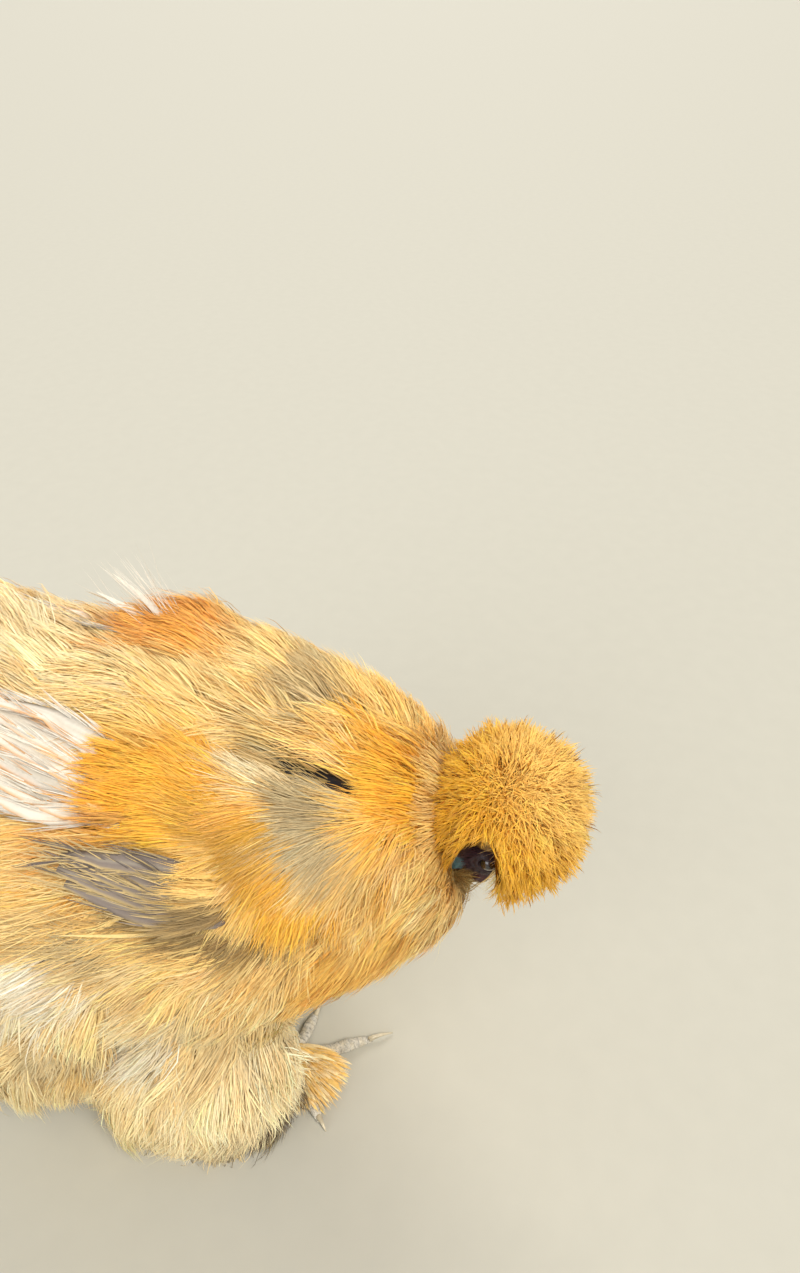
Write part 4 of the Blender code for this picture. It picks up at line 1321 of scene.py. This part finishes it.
# The rearmost coverts lie over the roots of the flight feathers.
coverPlan = {
    "count": 1500,
    "ahead": 12 * mm,
    "over": (4, 22),
    "start": (-4, 6),
    "depth": 3 * mm,
    "bend": (1.5, 4.0),
    "rise": (0.6, 2.6),
    "spread": 0.8 * mm,
    "width": (0.42, 0.72),
    "clump": (9, 0.5),
    "tones": (0.08, 0.07),
}


def growCovers(skinMap, finish):
    rng = np.random.default_rng(95)
    found = []
    short, long = coverPlan["over"]
    for node in ("secondaries_right", "secondaries_left", "primaries_right", "primaries_left"):
        tree, low, _, bottom, top = plateOf(node)
        for _ in range(coverPlan["count"]):
            angle = bottom + (top - bottom) * rng.random()
            over = (short + (long - short) * rng.random() ** 1.7) * mm
            base = low[1] + rng.uniform(*coverPlan["start"]) * mm
            under, normal = onPlate(tree, angle, base)
            end, endNormal = onPlate(tree, angle, base + over)
            aim = under - normal * coverPlan["depth"] - np.array((0, coverPlan["ahead"], 0))
            mid = under + normal * rng.uniform(*coverPlan["bend"]) * mm
            tip = end + endNormal * rng.uniform(*coverPlan["rise"]) * mm
            tip += rng.normal(0, coverPlan["spread"], 3)
            found.append((aim, mid, tip, normal))
    aim, mid, tip, facing = (np.array(values) for values in zip(*found))
    root, _ = skinMap.nearest(aim)
    mid, tip, owner = clump(root, mid, tip, *coverPlan["clump"], rng)
    ownTone, clumpTone = coverPlan["tones"]
    shade = rng.normal(0, ownTone, len(root)) + rng.normal(0, clumpTone, len(root))[owner]
    width = rng.uniform(*coverPlan["width"], len(root)) * mm
    piece = strands("coatCovers", root, mid, tip, facing, width, plumageToneAndShade(aim) * (1 + shade)[:, None],
                    skinMap.patchAt(root), outward=facing)
    return handIn(piece, "plumage_loose", finish)


# Wisps: single long filaments that stand off the plumage.
# Each group: where it grows, which way, how many, how long, in which tone, how spread and how wide.
wispPlan = [
    ((-52, 62, 214), (-0.10, 0.95, 0.22), 90, (26, 46), "white", 17, (0.3, 0.55)),
    ((-46, 44, 226), (-0.45, 0.80, -0.20), 26, (30, 44), "orange", 16, (0.5, 1.1)),
    ((-76, 8, 196), (-0.25, 0.95, -0.10), 60, (24, 46), "cream", 18, (0.3, 0.6)),
    ((-84, 20, 170), (-0.2, 0.95, -0.25), 90, (22, 42), "cream", 18, (0.3, 0.6)),
    ((-84, -30, 176), (-0.1, 0.98, -0.08), 7, (44, 58), "cream", 7, (1.4, 2.6)),
    ((48, 34, 236), (0.16, 0.78, 0.60), 70, (20, 44), "white", 12, (0.25, 0.45)),
    ((44, 28, 235), (0.10, 0.86, 0.44), 3, (36, 42), "white", 4, (2.6, 4.0)),
]
wispLie = {"turn": 0.16, "bend": 0.35, "bendHeight": 8.5 * mm, "height": (6, 12)}


def growWisps(skinMap, finish):
    rng = np.random.default_rng(91)
    grown = []
    for centre, way, count, lengths, name, spread, widths in wispPlan:
        aim = np.array(centre) * mm + rng.normal(0, spread * 0.5 * mm, (count, 3))
        root, normal = skinMap.nearest(aim)
        length = (rng.uniform(*lengths, count) * mm)[:, None]
        lean = unit(unit(np.array(way)) + rng.normal(0, wispLie["turn"], (count, 3)))
        mid = root + normal * wispLie["bendHeight"] + lean * length * wispLie["bend"]
        tip = root + normal * rng.uniform(*wispLie["height"], count)[:, None] * mm + lean * length
        width = rng.uniform(*widths, count) * mm
        grown.append((root, mid, tip, normal, width, np.tile(tone(name), (count, 1))))
    root, mid, tip, normal, width, colours = (np.concatenate(values) for values in zip(*grown))
    piece = strands("wisps", root, mid, tip, normal, width, colours, skinMap.patchAt(root), rows=4,
                    tipLight=0.2)
    return handIn(piece, "plumage_loose", finish)


# The face: eyes, bill and the short bristles round them.

# The iris lies between these angles from the eye's axis, in radians, and the cornea bulges.
eyePlan = {"axis": (-0.22, 0.05), "iris": (0.30, 0.36, 0.66, 0.74), "cornea": (0.42, 0.35 * mm), "dark": 0.4}


def makeEyes(finish):
    for sideName, side in (("right", -1), ("left", 1)):
        node = "eye_" + sideName
        centre = middle(node)
        radius = float((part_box(node)[1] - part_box(node)[0]).z) / 2
        bm = bmesh.new()
        ball(bm, centre, (radius,) * 3, None, 48)
        eye = newPiece("eye_" + sideName + "_globe", bm)
        places = readMesh(eye.data)[0]
        axis = unit(np.array((side, *eyePlan["axis"])))
        off = np.arccos(np.clip(unit(places - centre) @ axis, -1, 1))
        inner, innerEnd, outer, outerEnd = eyePlan["iris"]
        iris = smooth(off, inner, innerEnd) * (1 - smooth(off, outer, outerEnd))
        reach, rise = eyePlan["cornea"]
        writePlaces(eye.data, places + unit(places - centre) * np.exp(-(off / reach) ** 2)[:, None] * rise)
        paint(eye.data, tinted(tone("blackSkin") * eyePlan["dark"], iris, "iris"))
        handIn(eye, "eye", finish, node)


# Places in the head's own frame, in millimetres. A nostril is a pit with a hood over it.
billPlan = {"nostril": (-22.5, 2.6), "pit": (1.9, 0.85, 0.9), "hood": (2.4, 0.7, 0.35), "hoodUp": 1.5,
            "grain": 0.07, "rings": (0.05, 3.1), "paleTip": (27, 35, 0.5), "vary": 0.12}


def makeBill(finish):
    for node in ("bill_upper", "bill_lower"):
        bill = rounded(cadCopy([node], "bill"), 3)
        mesh = bill.data
        places = readMesh(mesh)[0]
        local = toHead(places) / mm
        normals = vertexNormals(mesh)
        depth, close = billPlan["rings"]
        lift = billPlan["grain"] * drift(places, 2.2 * mm, 41) + depth * np.sin(local[:, 1] * close)
        start, end, strength = billPlan["paleTip"]
        colours = tinted(tone("slate"), strength * smooth(-local[:, 1], start, end), "horn")
        for side in (-1, 1) if node == "bill_upper" else ():
            back, up = local[:, 1] - billPlan["nostril"][0], local[:, 2] - billPlan["nostril"][1]
            onSide = smooth(local[:, 0] * side, 1, 2)
            long, tall, deep = billPlan["pit"]
            pit = np.exp(-((back / long) ** 2 + (up / tall) ** 2)) * onSide
            long, tall, high = billPlan["hood"]
            hood = np.exp(-((back / long) ** 2 + ((up - billPlan["hoodUp"]) / tall) ** 2)) * onSide
            lift += high * hood - deep * pit
            # The pit is painted darker, as shade inside the nostril.
            colours = colours * (1 - 0.8 * pit[:, None])
        writePlaces(mesh, places + normals * (lift * mm)[:, None])
        paint(mesh, colours * (1 + billPlan["vary"] * drift(places, 3 * mm, 42))[:, None])
        handIn(moveOut(bill, node + "_horn"), "bill", finish, node)


bristlePlan = {
    "count": 5000,
    "lobeGap": 7.5 * mm,
    "eyeGap": 7.0,
    "length": (2.4, 5.5, 9),  # on the face, more towards the ear, more under the bill
    "chin": (6, 12),
    "down": (0.55, 0.8),
    "turn": 0.25,
    "width": (0.22, 0.42),
    "dark": 2.2,
    "tan": (0.75, 0.25, 0.8),
}


def growBristles(skinMap, finish):
    # Short dark and tan bristles on the bare face, thickest round the ear and under the bill.
    rng = np.random.default_rng(55)
    local = toHead(skinMap.centres) / mm
    weights = faceShare(local) * (0.25 + smooth(local[:, 1], -8, 6) + smooth(-local[:, 2], 4, 9))
    for node in skinPlan["lobes"]:
        weights *= np.linalg.norm(skinMap.centres - middle(node), axis=1) > bristlePlan["lobeGap"]
    for side in (-1, 1):
        weights *= np.linalg.norm(local - eyePlace(side), axis=1) > bristlePlan["eyeGap"]
    count = bristlePlan["count"]
    root, normal, patch = skinMap.sample(weights, count, rng)
    at = toHead(root) / mm
    below = smooth(-at[:, 2], *bristlePlan["chin"])
    first, more = bristlePlan["down"]
    way = np.column_stack([np.zeros(count), np.ones(count), -first - more * below]) @ headTurn.T
    way = unit(alongSkin(way, normal) + rng.normal(0, bristlePlan["turn"], (count, 3)))
    first, ear, chin = bristlePlan["length"]
    length = (first + ear * smooth(at[:, 1], -6, 8) + chin * below) * mm * rng.uniform(0.6, 1.2, count)
    mid = root + way * (length * 0.5)[:, None] + normal * (length * 0.28)[:, None]
    tip = root + way * length[:, None] + normal * (length * 0.25)[:, None]
    chin, ear, level = bristlePlan["tan"]
    tan = chin * smooth(-at[:, 2], 4, 9) + ear * smooth(at[:, 1], 0, 9)
    colours = tinted(tone("mulberry") * bristlePlan["dark"], tan, "buff", level)
    width = rng.uniform(*bristlePlan["width"], count) * mm
    piece = strands("faceBristles", root - normal * 0.2 * mm, mid, tip, normal, width, colours, patch,
                    tipLight=0.05)
    return handIn(piece, "skin", finish)


# The feet: scaly shanks and toes, horn claws and the plumes on the outer toes.

footPlan = {
    "voxel": 0.72 * mm,
    "grow": 0.25 * mm,
    "ballRadius": 6.8 * mm,
    "ballHeight": (4 * mm, 16 * mm),  # where the toes start, and the rear one
    "clearance": 0.15 * mm,
    "scute": 2.7,  # the length of a scute
    "ridge": 0.42,
    "pebble": 0.16,
    "grain": 0.06,
    "scaleTone": 0.16,
    "crack": 0.62,
    "dust": (0.45, 1.05),
    "clawTone": (0.92, 0.14),
}


def footBall(sideName):
    side = 1 if sideName == "left" else -1
    low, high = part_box("shank_" + sideName)
    x = low.x + footPlan["ballRadius"] if side > 0 else high.x - footPlan["ballRadius"]
    return np.array((x, low.y + footPlan["ballRadius"], 0))


def runAlongToes(sideName, places):
    # How far each place is from the ball of the foot, along the toe or shank that it belongs to.
    ballPlace = footBall(sideName)
    low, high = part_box("shank_" + sideName)
    top = np.array(((low.x + high.x) - ballPlace[0], high.y - 5 * mm, high.z))
    best = np.full(len(places), 1.0)
    run = np.zeros(len(places))
    for index, end in enumerate([middle(f"claw_{sideName}_{number}") for number in range(1, 6)] + [top]):
        start = ballPlace + np.array((0, 0, footPlan["ballHeight"][index == 4]))
        way = end - start
        share = np.clip((places - start) @ way / (way @ way), 0, 1)
        off = np.linalg.norm(places - start - share[:, None] * way, axis=1)
        closer = off < best
        best = np.where(closer, off, best)
        run = np.where(closer, share * np.linalg.norm(way), run)
    return run / mm


def makeFoot(sideName, finish, hornFinish):
    nodes = ["shank_" + sideName] + [f"toe_{sideName}_{number}" for number in range(1, 6)]
    foot = remesh(cadCopy(nodes, "foot", grow=footPlan["grow"]), footPlan["voxel"], rounds=2)
    mesh = foot.data
    places = readMesh(mesh)[0]
    normals = vertexNormals(mesh)
    run = runAlongToes(sideName, places)
    # Broad scutes overlap along the top and front, small round scales cover the sides.
    topSide = smooth(normals[:, 2] - 0.6 * normals[:, 1], 0.0, 0.6)
    phase = run / footPlan["scute"] + 0.12 * drift(places, 6 * mm, 81)
    saw = phase - np.floor(phase)
    lift = footPlan["ridge"] * (saw ** 1.6 - 0.45) * topSide
    lift += footPlan["pebble"] * np.abs(drift(places, 2.1 * mm, 82)) * (1 - topSide)
    lift += footPlan["grain"] * drift(places, 1.5 * mm, 83)
    onFloor = smooth(places[:, 2], 0.1 * mm, 1.4 * mm)
    places = places + normals * (lift * onFloor * mm)[:, None]
    places[:, 2] = np.maximum(places[:, 2], footPlan["clearance"])
    writePlaces(mesh, places)
    crack = (1 - smooth(saw, 0.0, 0.16) * smooth(1 - saw, 0.0, 0.10)) * topSide
    shade = (1 + footPlan["scaleTone"] * drift(places, 5 * mm, 84)) * (1 - footPlan["crack"] * crack)
    strength, level = footPlan["dust"]
    dust = strength * smooth(drift(places, 7 * mm, 85), -0.2, 0.8)
    paint(mesh, tinted(tone("scaleGrey") * shade[:, None], dust, "horn", level))
    handIn(moveOut(foot, "foot_" + sideName), "scales", finish, *nodes)
    clawNodes = [f"claw_{sideName}_{number}" for number in range(1, 6)]
    claws = rounded(cadCopy(clawNodes, "claws"), 2)
    places = readMesh(claws.data)[0]
    reach = np.linalg.norm((places - footBall(sideName))[:, :2], axis=1) / mm
    level, strength = footPlan["clawTone"]
    shade = level + strength * drift(places * np.array((0.25, 0.25, 1)), 2.2 * mm, 86)
    paint(claws.data, tone("horn") * (shade * (1.05 - 0.004 * (reach % 9)))[:, None])
    handIn(moveOut(claws, "claws_" + sideName), "horn", hornFinish, *clawNodes)


plumePlan = {
    "count": 170,
    "length": (10, 20),
    "width": (1.4, 2.8),
    "fine": 1400,
    "fineLength": (7, 14),
    "fineWidth": (0.4, 0.9),
    "rootHeight": (2 * mm, 11 * mm),
    "tuft": 60,
    "overshoot": (-4, 2.5, 2.2),
    "tipHeight": (0.45, 1.05, 0.6 * mm),
    "arch": 0.22,
    "spread": 0.8 * mm,
    "fan": 14 * mm,  # how parallel they lie
    "front": (4 * mm, 20 * mm),  # peach ahead of the foot's ball
    "pale": (0.45, 0.6),
    "tone": (0.95, 0.1),
}


def makeFootPlumes(sideName, skinMap, finish):
    rng = np.random.default_rng(101 if sideName == "right" else 102)
    node = "foot_plume_" + sideName
    ballPlace = footBall(sideName)
    heading = middle(node) - ballPlace
    heading[2] = 0
    heading = unit(heading)
    first, second, third, cross = trianglesOf(node)
    area = np.linalg.norm(cross, axis=1) * (unit(cross)[:, 2] > -0.2)
    total = plumePlan["count"] + plumePlan["fine"]
    chosen = rng.choice(len(area), size=total, p=area / area.sum())
    mix = rng.dirichlet((1, 1, 1), total)
    tip = first[chosen] * mix[:, :1] + second[chosen] * mix[:, 1:2] + third[chosen] * mix[:, 2:]
    normal = unit(cross)[chosen]
    fine = np.arange(total) >= plumePlan["count"]
    length = rng.uniform(*plumePlan["fineLength"], total), rng.uniform(*plumePlan["length"], total)
    length = np.where(fine, *length) * mm
    away = tip - ballPlace
    away[:, 2] = 0
    away = unit(away + heading * plumePlan["fan"])
    root = tip - away * length[:, None]
    root[:, 2] = np.clip(tip[:, 2] * 0.5 + 3 * mm, *plumePlan["rootHeight"])
    tuft = gather(tip, plumePlan["tuft"], rng)
    least, most, spread = plumePlan["overshoot"]
    tip = tip + away * (rng.uniform(least, most, total) + rng.normal(0, spread, total)[tuft])[:, None] * mm
    least, most, lowestTip = plumePlan["tipHeight"]
    tip[:, 2] = np.maximum(tip[:, 2] * rng.uniform(least, most, total), lowestTip)
    mid = (root + tip) / 2 + np.array((0, 0, 1)) * (length * plumePlan["arch"])[:, None]
    mid += rng.normal(0, plumePlan["spread"], (total, 3))
    colours = tinted(tone("buff"), smooth(ballPlace[1] - tip[:, 1], *plumePlan["front"]), "peach")
    share, strength = plumePlan["pale"]
    colours = tinted(colours, strength * (rng.random(total) < share), "paleCream")
    colours = colours * rng.normal(*plumePlan["tone"], total)[:, None]
    width = rng.uniform(*plumePlan["fineWidth"], total), rng.uniform(*plumePlan["width"], total)
    width = np.where(fine, *width) * mm
    facing = unit(normal * 0.4 + np.array((0, 0, 1)) + rng.normal(0, 0.3, (total, 3)))
    piece = strands("footPlumes_" + sideName, root, mid, tip, facing, width, colours,
                    skinMap.patchAt(root), rows=4)
    return handIn(piece, "plumage_loose", finish, node)


# Putting her together.

setCamera()
setStudio()
print("stage: camera, floor and light")

skin = makeSkin()
paintSkin(skin)
print("stage: skin", len(skin.data.polygons), "faces")
handIn(skin, "skin", makeFinish("skinFinish"), *fleshNodes, "head", "crest", *skinPlan["lobes"])
skinMap = SkinMap(skin)
print("stage: skin map")

# Millimetres of each row of flight feathers that stay under the coat: at its front, low edge and end.
plateTrim = {"secondaries_right": (8, 0, 0), "primaries_right": (8, 15, 22),
             "secondaries_left": (110, 8, 0), "primaries_left": (10, 12, 22)}
plates = []
for node, (front, below, behind) in plateTrim.items():
    low, high = boxOf(node)
    low = low + np.array((0, front, below)) * mm
    high = high - np.array((0, behind, 0)) * mm
    plates.append((treeOf(frame["nodes"][node].data), low, high))

silk = makeFinish("silkyPlumage")
for index, (name, values) in enumerate(coatPlan.items()):
    growCoat(name, dict(zip(coatColumns, values)), skinMap, plates, silk, 201 + 10 * index)
    print("stage:", name)
growCrest(skinMap, silk)
print("stage: crest")
satin = makeFinish("satinVanes")
for index, (row, sideName) in enumerate((r, s) for r in flightPlan for s in ("right", "left")):
    makeFlights(row, sideName, skinMap, silk, satin, 301 + index)
growCovers(skinMap, silk)
growWisps(skinMap, silk)
print("stage: flight feathers and wisps")

makeEyes(makeFinish("eyeFinish"))
hornFinish = makeFinish("hornFinish")
makeBill(hornFinish)
growBristles(skinMap, silk)
print("stage: face")
scaleFinish = makeFinish("scaleFinish")
for sideName in ("right", "left"):
    makeFoot(sideName, scaleFinish, hornFinish)
    makeFootPlumes(sideName, skinMap, silk)
print("stage: feet")

for spare in list(workshop.objects):
    bpy.data.objects.remove(spare)
bpy.data.collections.remove(workshop)
